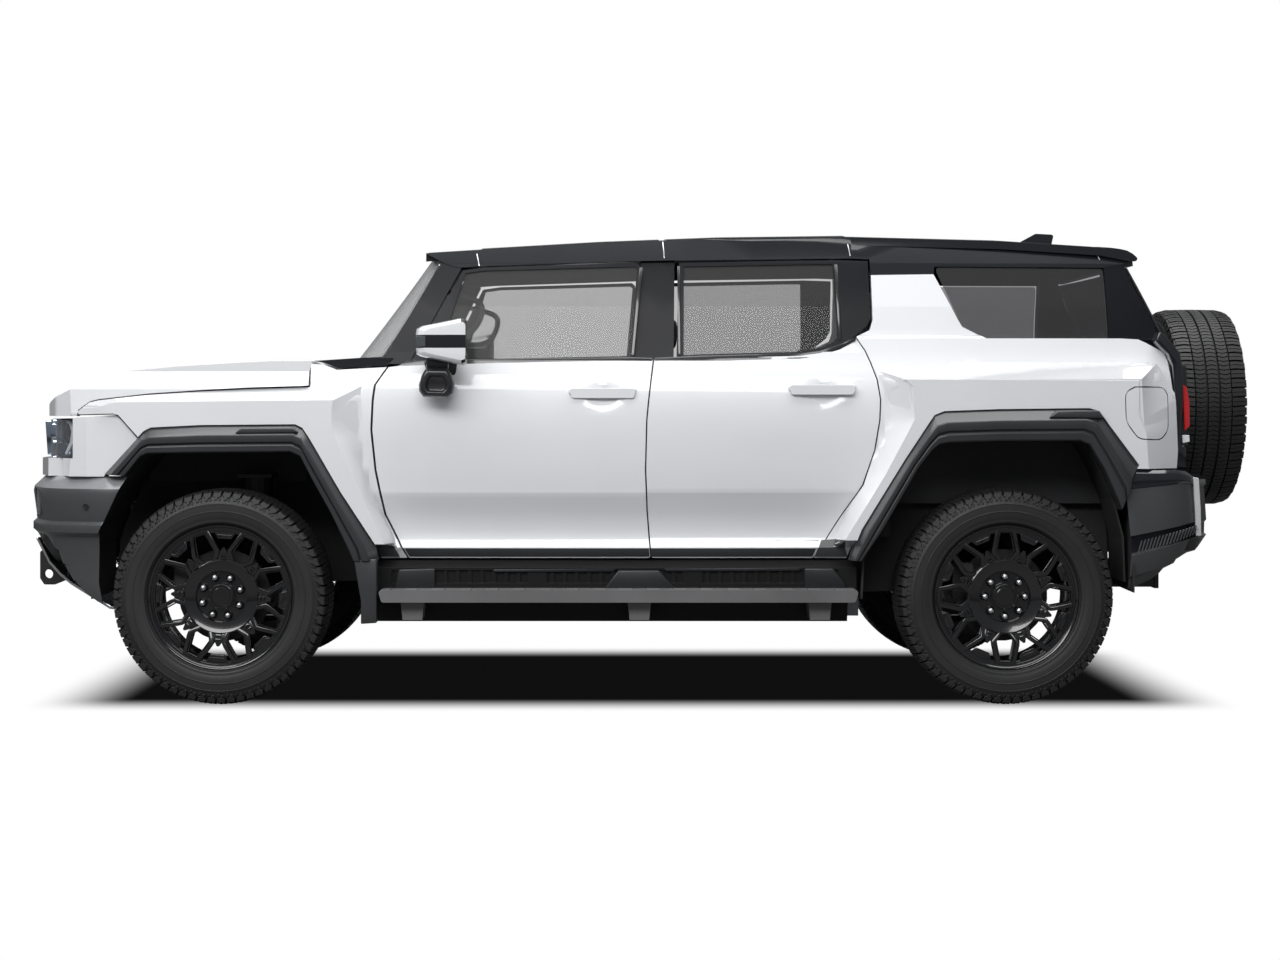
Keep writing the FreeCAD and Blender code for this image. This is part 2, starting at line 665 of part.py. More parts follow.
def build_rear_bumper():
    side = [(-1990, 925), (-1990, 962), (-2330, 962), (-2360, 935), (-2372, 820), (-2352, 715),
            (-2275, 566), (-2200, 520), (-1985, 482), (-1970, 482), (-1966, 679), (-1946, 893)]
    body = prism(side, -1080, 1080, 6).common(prism(tail_plan(-2372), 300, 1000, 50, "XY"))
    hollow = prism([(-1800, 900), (-2270, 900), (-2270, 700), (-2180, 590), (-1800, 560)],
                   -940, 940)
    spare_bay = block((-2500, -530, 745), (-2300, 530, 1000))
    gate_bay = fused([block((-2264, -830, 935), (-1900, 830, 1000)),
                      block((-2146, -830, 700), (-1900, 830, 960))])
    corner_step = both_sides(prism([(-2240, 700), (-2420, 740), (-2420, 1000), (-2240, 1000)], 880, 1200))
    body = body.cut(hollow).cut(spare_bay).cut(gate_bay).cut(corner_step)
    body = fused([body] + [block((-2320, sign * 700 - 150, 742), (-2240, sign * 700 + 150, 760))
                           for sign in (-1, 1)])
    body = body.cut(made["arch_flares"]).cut(made["rear_quarters"])
    feature("rear_bumper", largest(body))


def build_flares():
    front = FRONT_FLARE + FRONT_ARCH[::-1]
    rear = REAR_FLARE + REAR_ARCH[:-2][::-1]
    flap = [(1112, 600), (1205, 600), (1176, 430), (1176, 336), (1112, 340)]
    front_band = fused([prism(front, 985, size("flare_y")), prism(flap, 990, 1090)])
    rear_band = prism(rear, 985, size("flare_y"))
    feature("arch_flares", Part.makeCompound([front_band, mirrored(front_band), rear_band,
                                              mirrored(rear_band)]))


# Roof, pillars and fixed glass.

ROOF_STATIONS = [(936, 1868), (709, 1882), (202, 1911), (-300, 1930), (-855, 1937), (-1489, 1921),
                 (-1912, 1894), (-2040, 1868)]


def roof_band(depth_top, depth_bottom, half=748.0):
    wires = []
    crown = size("roof_crown")
    steps = [half * share / 4 for share in range(4, -5, -1)]
    for x, z in ROOF_STATIONS:
        rise = [(y, z + crown * (1 - (y / half) ** 2)) for y in steps]
        top = [V(x, y, height - depth_top) for y, height in rise]
        low = [V(x, y, height - depth_bottom) for y, height in rise[::-1]]
        wires.append(Part.makePolygon(top + low + top[:1]))
    return Part.makeLoft(wires, True, True)


PANE_SPLITS = ((717, -60), (-68, -848))


def pane_box(front, rear, low_y, high_y, grow=0.0):
    low, high = sorted((low_y, high_y))
    return block((rear - grow, low - grow, 1700), (front + grow, high + grow, 2100))


def build_roof():
    # Four lift-off panes over the cabin, each seated on a ledge of the frame round it.
    skin = roof_band(0, size("roof_depth"))
    panes = []
    pockets = []
    for front, rear in PANE_SPLITS:
        for sign in (1, -1):
            reach = (front - 12, rear + 12, sign * 36, sign * 690)
            panes.append(roof_band(-4, 14).common(pane_box(*reach)))
            pockets.append(roof_band(-10, 16).common(pane_box(*reach, GAP)))
            skin = skin.cut(pane_box(*reach, -25))
    rail_side = [(936, 1868), (709, 1882), (202, 1911), (-300, 1930), (-855, 1937), (-1489, 1921),
                 (-1912, 1894), (-2040, 1868), (-2026, 1826), (-1924, 1808), (-1206, 1812),
                 (-1200, 1778), (-936, 1774), (-932, 1843), (-849, 1846), (-218, 1838), (34, 1834),
                 (714, 1812), (790, 1806), (850, 1822)]
    rail = side_slab(UPPER_SECTION, 0, 62, 1000, -2100, 18).common(prism(rail_side, 500, 1000))
    fin = prism([(-1672, 1950), (-1777, 2007), (-1859, 2003), (-1845, 1940)], -14, 14, 10)
    header = prism([(-2040, 1960), (-2052, 1816), (-2012, 1816), (-1990, 1960)], -735, 735)
    header = largest(header.cut(roof_band(-100, 10)))
    frame = fused([skin, rail, mirrored(rail), fin, header])
    for pocket in pockets:
        frame = frame.cut(pocket)
    feature("roof_frame", frame)
    feature("roof_panels", Part.makeCompound(panes))


def build_pillars():
    # Each side has one solid: windscreen pillar and hinge post, centre post, and a rear pillar.
    a_pillar = [(1079, 1399), (1112, 1399), (862, 1838), (820, 1838), (786, 1800), (975, 1440), (995, 1399)]
    b_pillar = [(66, 1380), (27, 1850), (-112, 1850), (-104, 1380)]
    d_pillar = [(-1930, 1500), (-1924, 1840), (-2003, 1840), (-2046, 1724), (-2100, 1615), (-2145, 1508),
                (-2145, 1500)]
    strut = [(96, 586), (76, 1410), (-90, 1410), (-96, 586)]
    hinge = [(1156, 586), (1140, 1300), (1100, 1424), (1004, 1424), (1026, 1400), (1072, 1376),
             (1064, 1100), (1000, 720), (1000, 586)]
    front = fused([slab_panel(UPPER_SECTION, a_pillar, 4, 62, 0, 0),
                   slab_panel(LOWER_SECTION, hinge, 74, 112, 0, 0)])
    centre = fused([slab_panel(UPPER_SECTION, b_pillar, 18, 62, 0, 0),
                    slab_panel(LOWER_SECTION, strut, 60, 100, 0, 0)])
    rear = slab_panel(UPPER_SECTION, d_pillar, 2, 90, 0, 0)
    posts = [largest(post.cut(made["roof_frame"]).cut(made["rear_quarters"]))
             for post in (front, centre, rear)]
    feature("pillars", Part.makeCompound(posts + [mirrored(post) for post in posts]))


def build_fixed_glass():
    depth = size("glass_thickness")
    pane = [(-1206, 1807), (-1920, 1803), (-1924, 1507), (-1407, 1507), (-1314, 1556), (-1298, 1584)]
    quarter = slab_panel(UPPER_SECTION, pane, 4, 4 + depth, 14)
    feature("quarter_glass", both_sides(quarter))
    rows = []
    for half, x_side, x_middle, z in ((868, 1118, 1288, 1430), (806, 988, 1126, 1640),
                                      (744, 866, 954, 1870)):
        ahead = [V(x_side, half, z), V(x_middle, 0, z), V(x_side, -half, z)]
        behind = [point - X_AXIS * 9 for point in reversed(ahead)]
        rows.append(Part.Wire([Part.Arc(*ahead).toShape(), Part.makeLine(ahead[2], behind[0]),
                               Part.Arc(*behind).toShape(), Part.makeLine(behind[2], ahead[0])]))
    screen = Part.makeLoft(rows, True, False)
    feature("windscreen", largest(screen.cut(made["pillars"]).cut(made["roof_frame"])))


def build_cowl():
    side = [(1392, 1412), (1180, 1426), (1060, 1424), (1085, 1392), (1290, 1382), (1346, 1404)]
    cowl = prism(side, -905, 905)
    well = prism([(1060, 1300), (1268, 1500), (900, 1500)], -700, 700)
    below = block((1060, -860, 1390), (1240, 860, 1412))
    feature("cowl_panel", largest(cowl.cut(well).cut(below).cut(made["pillars"])))


# Swing gate with the spare wheel's carrier.

def build_gate():
    side = [(-2214, 1470), (-2236, 1418), (-2243, 1292), (-2249, 1124), (-2244, 972), (-2150, 972),
            (-2150, 1440), (-2160, 1470)]
    across = [(-822, 960), (822, 960), (822, 1330), (812, 1378), (796, 1440), (784, 1480), (-784, 1480),
              (-796, 1440), (-812, 1378), (-822, 1330)]
    gate = prism(side, -822, 822).common(prism(across, -2400, -2100, 0, "YZ"))
    recess = prism([(-620, 1040), (620, 1040), (560, 1230), (-560, 1230)], -2300, -2226, 30, "YZ")
    gate = gate.cut(recess)
    hub_end = size("spare_centre_x") - size("wheel_face_offset") + 78
    boss = Part.makeCone(190, 120, 64, V(-2226, 0, size("spare_height")), X_AXIS * -1)
    bracket = prism(ring_points(0, size("spare_height"), 84, 16), hub_end, -2230, 0, "YZ")
    feature("gate_panel", fused([gate, boss, bracket]))
    rows = []
    for half, x, z in ((816, -2182, 1470), (790, -2104, 1640), (732, -2028, 1808)):
        outer = [V(x, half, z), V(x - 30, 0, z), V(x, -half, z)]
        inner = [point + X_AXIS * size("glass_thickness") for point in reversed(outer)]
        rows.append(Part.Wire([Part.Arc(*outer).toShape(), Part.makeLine(outer[2], inner[0]),
                               Part.Arc(*inner).toShape(), Part.makeLine(inner[2], outer[0])]))
    feature("gate_glass", Part.makeLoft(rows, True, False))


def build_tail_lamps():
    lens = prism([(-2188, 1060), (-2188, 1392), (-2236, 1392), (-2244, 1240), (-2246, 1060)], 832, 925, 6)
    feature("tail_lamps", both_sides(largest(lens.cut(made["rear_quarters"]))))


# Chassis, floor and cladding.

def build_chassis():
    pack = doc.addObject("Part::Box", "battery_pack")
    pack.Label = "battery_pack"
    bound(pack, Length="sizes.battery_length", Width="sizes.battery_width", Height="sizes.battery_height")
    pack.Placement = FreeCAD.Placement(V(-900, -size("battery_width") / 2, size("battery_floor")),
                                       FreeCAD.Rotation())
    sub_parts.append(pack)
    rail_side = [(2290, 470), (2290, 590), (1240, 590), (1180, 545), (-900, 545), (-1060, 690),
                 (-2180, 690), (-2180, 591), (-1075, 591), (-915, 484), (1160, 484), (1240, 500),
                 (1900, 500), (1990, 470)]
    rails = [prism(rail_side, y, y + 80) for y in (400, -480)]
    cross = [block((x, -400, z), (x + 90, 400, z + 70)) for x, z in
             ((2180, 490), (1300, 510), (-940, 510), (-1180, 615), (-1850, 615), (-2180, 615))]
    x = FRONT_AXLE
    tower = fused([block((x - 160, 470, 574), (x - 10, 543, 590)), block((x - 160, 527, 574), (x - 10, 543, 935)),
                   block((x - 160, 527, 919), (x - 10, 690, 935))])
    feature("body_frame", fused(rails + cross + [tower, mirrored(tower)]))
    drives = []
    shaft_end = size("kingpin_y") - 100
    for x, low in ((FRONT_AXLE, 320), (REAR_AXLE, 330)):
        motor = prism(ring_points(x, HUB_Z, 150, 20), -260, 260)
        case = block((x - 170, -150, low), (x + 190, 150, HUB_Z + 130))
        shaft = prism(ring_points(x, HUB_Z, 24, 10), -shaft_end, shaft_end)
        drives.append(fused([motor, case, shaft]))
    feature("drive_units", Part.makeCompound(drives))
    build_suspension()


def build_suspension():
    # Lower and upper arms to each upright, and an air spring round each damper.
    pin = size("kingpin_y")
    low_z = HUB_Z - 145
    high_z = HUB_Z + 156
    shapes = []
    for x, spring_top in ((FRONT_AXLE, 919), (REAR_AXLE, 812)):
        lower = prism([(x - 190, 275), (x + 190, 275), (x + 150, 480), (x + 46, pin - 30),
                       (x + 40, pin + 28), (x - 40, pin + 28), (x - 46, pin - 30), (x - 150, 480)],
                      low_z - size("arm_thickness"), low_z, 0, "XY")
        lower = lower.cut(prism([(x - 100, 330), (x + 100, 330), (x + 40, 500), (x - 40, 500)],
                                100, 500, 0, "XY"))
        upper = prism([(x + 10, 500), (x + 120, 500), (x + 34, pin + 20), (x - 34, pin + 20)],
                      high_z, high_z + 26, 0, "XY")
        strut = prism(ring_points(x - 86, 615, 30, 12), low_z, spring_top - 120, 0, "XY")
        bellows = prism(ring_points(x - 86, 615, size("spring_radius"), 16),
                        spring_top - size("spring_height") * 0.7, spring_top, 0, "XY")
        spring = fused([strut, bellows])
        shapes += [lower, mirrored(lower), upper, mirrored(upper), spring, mirrored(spring)]
    feature("suspension", Part.makeCompound(shapes))


def build_receiver():
    bore = size("receiver_bore")
    wall = size("receiver_wall")
    outer = bore + 2 * wall
    tube = block((-2330, -outer / 2, 404), (-2120, outer / 2, 404 + outer))
    hole = block((-2400, -bore / 2, 404 + wall), (-2160, bore / 2, 404 + wall + bore))
    beam = block((-2170, -480, 404 + outer), (-2130, 480, 520))
    collar = block((-2330, -outer / 2 - 6, 404 - 6), (-2312, outer / 2 + 6, 404 + outer + 6))
    whole = fused([tube, beam, collar]).cut(hole).cut(made["rear_bumper"])
    feature("hitch_receiver", largest(whole))


def build_floor():
    side = [(1160, 556), (1160, 590), (-700, 590), (-760, 700), (-1000, 700), (-1000, 842), (-2140, 842),
            (-2140, 812), (-1030, 812), (-1030, 670), (-790, 670), (-730, 556)]
    pan = prism(side, -708, 708)
    wide = block((-700, -815, 556), (1140, 815, 590))
    bulkhead = block((1140, -812, 556), (1164, 812, 1412)).cut(made["cowl_panel"])
    rear_wall = block((-2144, -800, 812), (-2124, 800, 962))
    trim = prism([(-960, 840), (-990, 1400), (-2100, 1400), (-2110, 840)], 692, 708)
    floor = fused([pan, wide, largest(bulkhead), rear_wall, trim, mirrored(trim)])
    feature("floor_pan", floor)
    tub_outer = block((1470, -520, 900), (2150, 520, 1322))
    tub_inner = block((1486, -504, 916), (2134, 504, 1400))
    shelf = block((1204, -760, 1296), (2240, 760, 1312)).cut(block((1480, -510, 1200), (2140, 510, 1400)))
    deck = shelf.common(prism(nose_plan(2470, 1000, -60), 900, 1500, 0, "XY"))
    feature("front_trunk", fused([tub_outer.cut(tub_inner), deck]))


def build_liners():
    # A thin shell round each wheel's opening, as wide as the space that the wheel steers in.
    depth = 8
    front = [(2290, 430), (2286, 640), (2262, 724), (2170, 905)] + FRONT_ARCH[1:-1] + [(1205, 597),
                                                                                       (1182, 430)]
    rear = [(-880, 430), (-888, 594)] + REAR_ARCH[1:-2] + [(-1950, 679), (-1956, 500)]
    shapes = []
    for points, inner, centre in ((front, 545, FRONT_AXLE), (rear, 726, REAR_AXLE)):
        outer = []
        for x, z in points:
            away = V(x - centre, z - HUB_Z, 0)
            away.normalize()
            outer.append((x + away.x * depth, z + away.y * depth))
        band = prism(points + outer[::-1], inner, 985)
        shapes += [band, mirrored(band)]
    feature("arch_liners", Part.makeCompound(shapes))


def build_sills():
    section = [(874, 430), (960, 430), (985, 470), (985, 560), (945, 586), (874, 586)]
    front = FRONT_AXLE - 586
    rear = -856
    body = prism(section, rear, front, 0, "YZ")
    for index in range(3):
        low = -780 + index * 640
        body = body.cut(block((low, 976, 496), (low + 560, 1000, 548)))
        ribs = [block((low + 30 + rib * 50, 970, 496), (low + 46 + rib * 50, 983, 548))
                for rib in range(11)]
        body = fused([body] + ribs)
    inner = block((rear + 20, 700, 486), (front - 40, 880, 552))
    low_edge = prism([(820, 330), (900, 330), (925, 430), (820, 430)], rear + 30, front - 30, 0, "YZ")
    feature("sill_cladding", both_sides(fused([body, inner, low_edge])))


def build_steps():
    board = prism([(1106, 475), (1092, 424), (-840, 424), (-854, 475)], 985, 1096, 12)
    tread = prism([(1060, 470), (-810, 470), (-810, 500), (1060, 500)], 1004, 1086)
    board = board.cut(tread)
    ribs = [block((-810 + index * 110, 1004, 462), (-760 + index * 110, 1086, 475)) for index in range(17)]
    brackets = [prism([(x - 48, 424), (x + 48, 424), (x + 40, 348), (x - 40, 348)], 880, 1040)
                for x in (970, 40, -700)]
    step = fused([board] + ribs + brackets).cut(made["sill_cladding"])
    feature("side_steps", both_sides(largest(step)))


def build_tow_hooks():
    hook = prism([(2490, 560), (2440, 560), (2440, 500), (2560, 452), (2606, 452), (2624, 480),
                  (2624, 596), (2596, 610), (2560, 600)], 486, 514, 12)
    bore = Part.makeCylinder(size("tow_hook_bore") / 2, 80, V(2588, 460, 498), Y_AXIS)
    feature("tow_hooks", both_sides(hook.cut(bore)))


# Inside.

def build_cabin():
    dash_side = [(1140, 1386), (900, 1386), (842, 1330), (850, 1180), (920, 1020), (1140, 1000)]
    dash = prism(dash_side, -820, 820, 26)
    screen = block((838, -170, 1240), (870, 210, 1430))
    cluster = block((842, 270, 1300), (872, 560, 1440))
    console = prism([(900, 590), (900, 1020), (700, 920), (-60, 900), (-60, 590)], -150, 150)
    column = Part.makeCylinder(30, 240, V(690, 400, 1118), V(0.93, 0, -0.36))
    feature("dashboard", fused([dash, screen, cluster, console, column]))
    seats = []
    for side_y in (405, -405):
        seats += seat_solids(330, side_y, 500, 600)
    for side_y in (330, -330):
        seats += seat_solids(-560, side_y, 640, 640)
    feature("seats", Part.makeCompound(seats))


def seat_solids(front_x, side_y, width, base_z):
    half = width / 2
    back_x = front_x - 260
    cushion = prism([(front_x + 250, base_z + 130), (front_x + 240, base_z + 250), (front_x - 230, base_z + 215),
                     (front_x - 230, base_z + 95)], side_y - half, side_y + half, 40)
    back = prism([(back_x + 20, base_z + 225), (back_x - 110, base_z + 840), (back_x - 215, base_z + 830),
                  (back_x - 105, base_z + 165), (back_x + 10, base_z + 200)], side_y - half, side_y + half, 36)
    rest = prism([(back_x - 118, base_z + 866), (back_x - 130, base_z + 1010), (back_x - 205, base_z + 1010),
                  (back_x - 205, base_z + 860)], side_y - 130, side_y + 130, 30)
    stem = block((back_x - 180, side_y - 50, base_z + 820), (back_x - 160, side_y + 50, base_z + 880))
    plinth_rear = max(front_x - 200, -690)
    plinth = block((plinth_rear, side_y - half + 40, 590), (front_x + 200, side_y + half - 40,
                                                            base_z + 150))
    return [fused([cushion, back, rest, stem, plinth])]


def build_steering_wheel():
    ring = [(15 * math.cos(math.pi * index / 4), 178 + 15 * math.sin(math.pi * index / 4))
            for index in range(8)]
    wheel = body_on("steering_wheel", faceted_ring(ring, 28, False, "XY"))
    boss = sketch_on(wheel, "steering_wheel_hub", "XY_Plane",
                     closed_lines([(-178, -14), (-80, -20), (-60, -70), (-14, -84), (-14, -178), (14, -178),
                                   (14, -84), (60, -70), (80, -20), (178, -14), (178, 14), (70, 40),
                                   (-70, 40), (-178, 14)]))
    pad = wheel.newObject("PartDesign::Pad", "steering_wheel_boss")
    pad.Profile = boss
    pad.Length = 34
    pad.Midplane = True
    wheel.Tip = pad
    doc.recompute()
    tilt = FreeCAD.Rotation(Y_AXIS, -69)
    wheel.Placement = FreeCAD.Placement(V(664, 400, 1128), tilt)


def build_all():
    # A piece that is trimmed to its neighbours comes after them.
    build_chassis()
    build_wheels()
    build_liners()
    build_sills()
    build_steps()
    build_flares()
    build_fenders()
    build_quarters()
    build_roof()
    build_pillars()
    build_fixed_glass()
    build_cowl()
    build_floor()
    build_doors()
    build_door_glass()
    build_mirrors()
    build_hood()
    build_tow_hooks()
    build_nose()
    build_front_bumper()
    build_rear_bumper()
    build_receiver()
    build_gate()
    build_tail_lamps()
    build_cabin()
    build_steering_wheel()


def check_and_write():
    doc.recompute()
    for part in sub_parts:
        if part.Shape.isNull() or not part.Shape.isValid():
            print("bad shape", part.Label)
    for item in doc.Objects:
        if "Invalid" in item.State or "Error" in item.State:
            raise RuntimeError("failed: " + item.Name)
    os.makedirs("parts", exist_ok=True)
    for part in sub_parts:
        if part.Shape.isNull() or not part.Shape.isValid():
            raise RuntimeError("bad shape: " + part.Label)
        part.Shape.exportStep("parts/%s.step" % part.Label)
    print("wrote", len(sub_parts), "parts")


build_all()
check_and_write()
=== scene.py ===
import json
import math

import bpy
import bmesh
from mathutils import Matrix, Vector


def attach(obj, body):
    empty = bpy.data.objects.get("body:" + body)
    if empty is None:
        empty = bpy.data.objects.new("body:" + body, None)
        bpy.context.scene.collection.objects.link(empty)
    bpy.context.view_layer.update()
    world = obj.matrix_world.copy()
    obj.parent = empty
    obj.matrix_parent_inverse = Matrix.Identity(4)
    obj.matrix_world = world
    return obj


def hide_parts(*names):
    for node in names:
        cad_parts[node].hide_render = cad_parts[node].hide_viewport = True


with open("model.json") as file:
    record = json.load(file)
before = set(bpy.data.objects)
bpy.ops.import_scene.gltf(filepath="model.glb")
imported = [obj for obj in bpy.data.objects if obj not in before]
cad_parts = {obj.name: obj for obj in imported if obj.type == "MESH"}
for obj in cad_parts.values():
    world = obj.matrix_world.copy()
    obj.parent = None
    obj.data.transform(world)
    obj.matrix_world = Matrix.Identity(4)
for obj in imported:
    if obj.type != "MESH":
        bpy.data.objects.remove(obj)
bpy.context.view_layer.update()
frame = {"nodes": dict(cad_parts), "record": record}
cadNodes = frame["nodes"]

# Places shared by several pieces, in metres.
frontAxle = 1.7565
rearAxle = -1.4615
hubHeight = 0.442
wheelCentre = 0.9225
spareHub = (-2.474, 0.0, 1.220)


# Materials

def newMaterial(name, colour, roughness=0.5, metallic=0.0, **sockets):
    material = bpy.data.materials.new(name)
    material.use_nodes = True
    shader = material.node_tree.nodes["Principled BSDF"]
    shader.inputs["Base Color"].default_value = (*colour, 1.0)
    shader.inputs["Roughness"].default_value = roughness
    shader.inputs["Metallic"].default_value = metallic
    for socket, value in sockets.items():
        shader.inputs[socket.replace("_", " ")].default_value = value
    return material


def shaderOf(material):
    return material.node_tree.nodes["Principled BSDF"]


def newGroup(name, inputs, outputs):
    group = bpy.data.node_groups.new(name, "ShaderNodeTree")
    for label, kind, default in inputs:
        socket = group.interface.new_socket(label, in_out="INPUT", socket_type=kind)
        if default is not None:
            socket.default_value = default
    for label, kind in outputs:
        group.interface.new_socket(label, in_out="OUTPUT", socket_type=kind)
    return group, group.nodes.new("NodeGroupInput"), group.nodes.new("NodeGroupOutput")


def buildGrainGroup():
    # Fine moulded grain: a normal from noise in object space.
    group, entry, leave = newGroup(
        "mouldedGrain",
        [("Scale", "NodeSocketFloat", 900.0), ("Depth", "NodeSocketFloat", 0.25)],
        [("Normal", "NodeSocketVector")])
    place = group.nodes.new("ShaderNodeTexCoord")
    noise = group.nodes.new("ShaderNodeTexNoise")
    noise.inputs["Detail"].default_value = 3.0
    bump = group.nodes.new("ShaderNodeBump")
    bump.inputs["Distance"].default_value = 0.0006
    link = group.links.new
    link(place.outputs["Object"], noise.inputs["Vector"])
    link(entry.outputs["Scale"], noise.inputs["Scale"])
    link(noise.outputs["Fac"], bump.inputs["Height"])
    link(entry.outputs["Depth"], bump.inputs["Strength"])
    link(bump.outputs["Normal"], leave.inputs["Normal"])
    return group


def buildWearGroup():
    # Slow changes of tone and gloss over a surface.
    group, entry, leave = newGroup(
        "surfaceDrift",
        [("Colour", "NodeSocketColor", (0.5, 0.5, 0.5, 1.0)), ("Roughness", "NodeSocketFloat", 0.5),
         ("Amount", "NodeSocketFloat", 0.1)],
        [("Colour", "NodeSocketColor"), ("Roughness", "NodeSocketFloat")])
    place = group.nodes.new("ShaderNodeTexCoord")
    noise = group.nodes.new("ShaderNodeTexNoise")
    noise.inputs["Scale"].default_value = 3.5
    noise.inputs["Detail"].default_value = 5.0
    spread = group.nodes.new("ShaderNodeMapRange")
    spread.inputs["From Min"].default_value = 0.3
    spread.inputs["From Max"].default_value = 0.7
    spread.inputs["To Min"].default_value = -1.0
    spread.inputs["To Max"].default_value = 1.0
    amount = group.nodes.new("ShaderNodeMath")
    amount.operation = "MULTIPLY"
    shine = group.nodes.new("ShaderNodeMath")
    shine.operation = "MULTIPLY_ADD"
    lift = group.nodes.new("ShaderNodeMath")
    lift.operation = "ADD"
    lift.inputs[1].default_value = 1.0
    tint = group.nodes.new("ShaderNodeVectorMath")
    tint.operation = "SCALE"
    link = group.links.new
    link(place.outputs["Object"], noise.inputs["Vector"])
    link(noise.outputs["Fac"], spread.inputs["Value"])
    link(spread.outputs["Result"], amount.inputs[0])
    link(entry.outputs["Amount"], amount.inputs[1])
    link(amount.outputs["Value"], shine.inputs[0])
    link(entry.outputs["Roughness"], shine.inputs[1])
    link(entry.outputs["Roughness"], shine.inputs[2])
    link(amount.outputs["Value"], lift.inputs[0])
    link(entry.outputs["Colour"], tint.inputs[0])
    link(lift.outputs["Value"], tint.inputs["Scale"])
    link(tint.outputs["Vector"], leave.inputs["Colour"])
    link(shine.outputs["Value"], leave.inputs["Roughness"])
    return group


grainGroup = buildGrainGroup()
driftGroup = buildWearGroup()


def addDrift(material, colour, roughness, amount):
    tree = material.node_tree
    drift = tree.nodes.new("ShaderNodeGroup")
    drift.node_tree = driftGroup
    drift.inputs["Colour"].default_value = (*colour, 1.0)
    drift.inputs["Roughness"].default_value = roughness
    drift.inputs["Amount"].default_value = amount
    shader = shaderOf(material)
    tree.links.new(drift.outputs["Colour"], shader.inputs["Base Color"])
    tree.links.new(drift.outputs["Roughness"], shader.inputs["Roughness"])


def addGrain(material, scale, depth):
    tree = material.node_tree
    grain = tree.nodes.new("ShaderNodeGroup")
    grain.node_tree = grainGroup
    grain.inputs["Scale"].default_value = scale
    grain.inputs["Depth"].default_value = depth
    tree.links.new(grain.outputs["Normal"], shaderOf(material).inputs["Normal"])


def plainMaterial(name, colour, roughness, metallic, drift, grain=None, **sockets):
    material = newMaterial(name, colour, roughness, metallic, **sockets)
    addDrift(material, colour, roughness, drift)
    if grain:
        addGrain(material, *grain)
    return material


def shadeUpward(material, start, end, share):
    # Faces that look up carry a darker tone, as under the dim ceiling of the photograph.
    tree = material.node_tree
    colour = shaderOf(material).inputs["Base Color"]
    facing = tree.nodes.new("ShaderNodeSeparateXYZ")
    tree.links.new(tree.nodes.new("ShaderNodeNewGeometry").outputs["Normal"], facing.inputs[0])
    reach = tree.nodes.new("ShaderNodeMapRange")
    reach.interpolation_type = "SMOOTHSTEP"
    reach.inputs["From Min"].default_value = start
    reach.inputs["From Max"].default_value = end
    tree.links.new(facing.outputs["Z"], reach.inputs["Value"])
    mix = tree.nodes.new("ShaderNodeMix")
    mix.data_type = "RGBA"
    mix.blend_type = "MULTIPLY"
    mix.inputs[7].default_value = (share, share, share, 1.0)
    tree.links.new(reach.outputs["Result"], mix.inputs[0])
    tree.links.new(colour.links[0].from_socket, mix.inputs[6])
    tree.links.new(mix.outputs[2], colour)


def glassMaterial(name, tint, density):
    # Thin glazing: a mix of a clear pass and a reflecting surface.
    material = bpy.data.materials.new(name)
    material.use_nodes = True
    tree = material.node_tree
    shader = tree.nodes["Principled BSDF"]
    shader.inputs["Base Color"].default_value = (*tint, 1.0)
    shader.inputs["Roughness"].default_value = 0.0
    shader.inputs["Coat Weight"].default_value = 0.6
    shader.inputs["Coat Roughness"].default_value = 0.01
    clear = tree.nodes.new("ShaderNodeBsdfTransparent")
    clear.inputs["Color"].default_value = (*tint, 1.0)
    mix = tree.nodes.new("ShaderNodeMixShader")
    edge = tree.nodes.new("ShaderNodeFresnel")
    edge.inputs["IOR"].default_value = 1.5
    reach = tree.nodes.new("ShaderNodeMath")
    reach.operation = "ADD"
    reach.use_clamp = True
    reach.inputs[1].default_value = density
    tree.links.new(edge.outputs["Fac"], reach.inputs[0])
    tree.links.new(reach.outputs["Value"], mix.inputs["Fac"])
    tree.links.new(clear.outputs["BSDF"], mix.inputs[1])
    tree.links.new(shader.outputs["BSDF"], mix.inputs[2])
    tree.links.new(mix.outputs["Shader"], tree.nodes["Material Output"].inputs["Surface"])
    return material


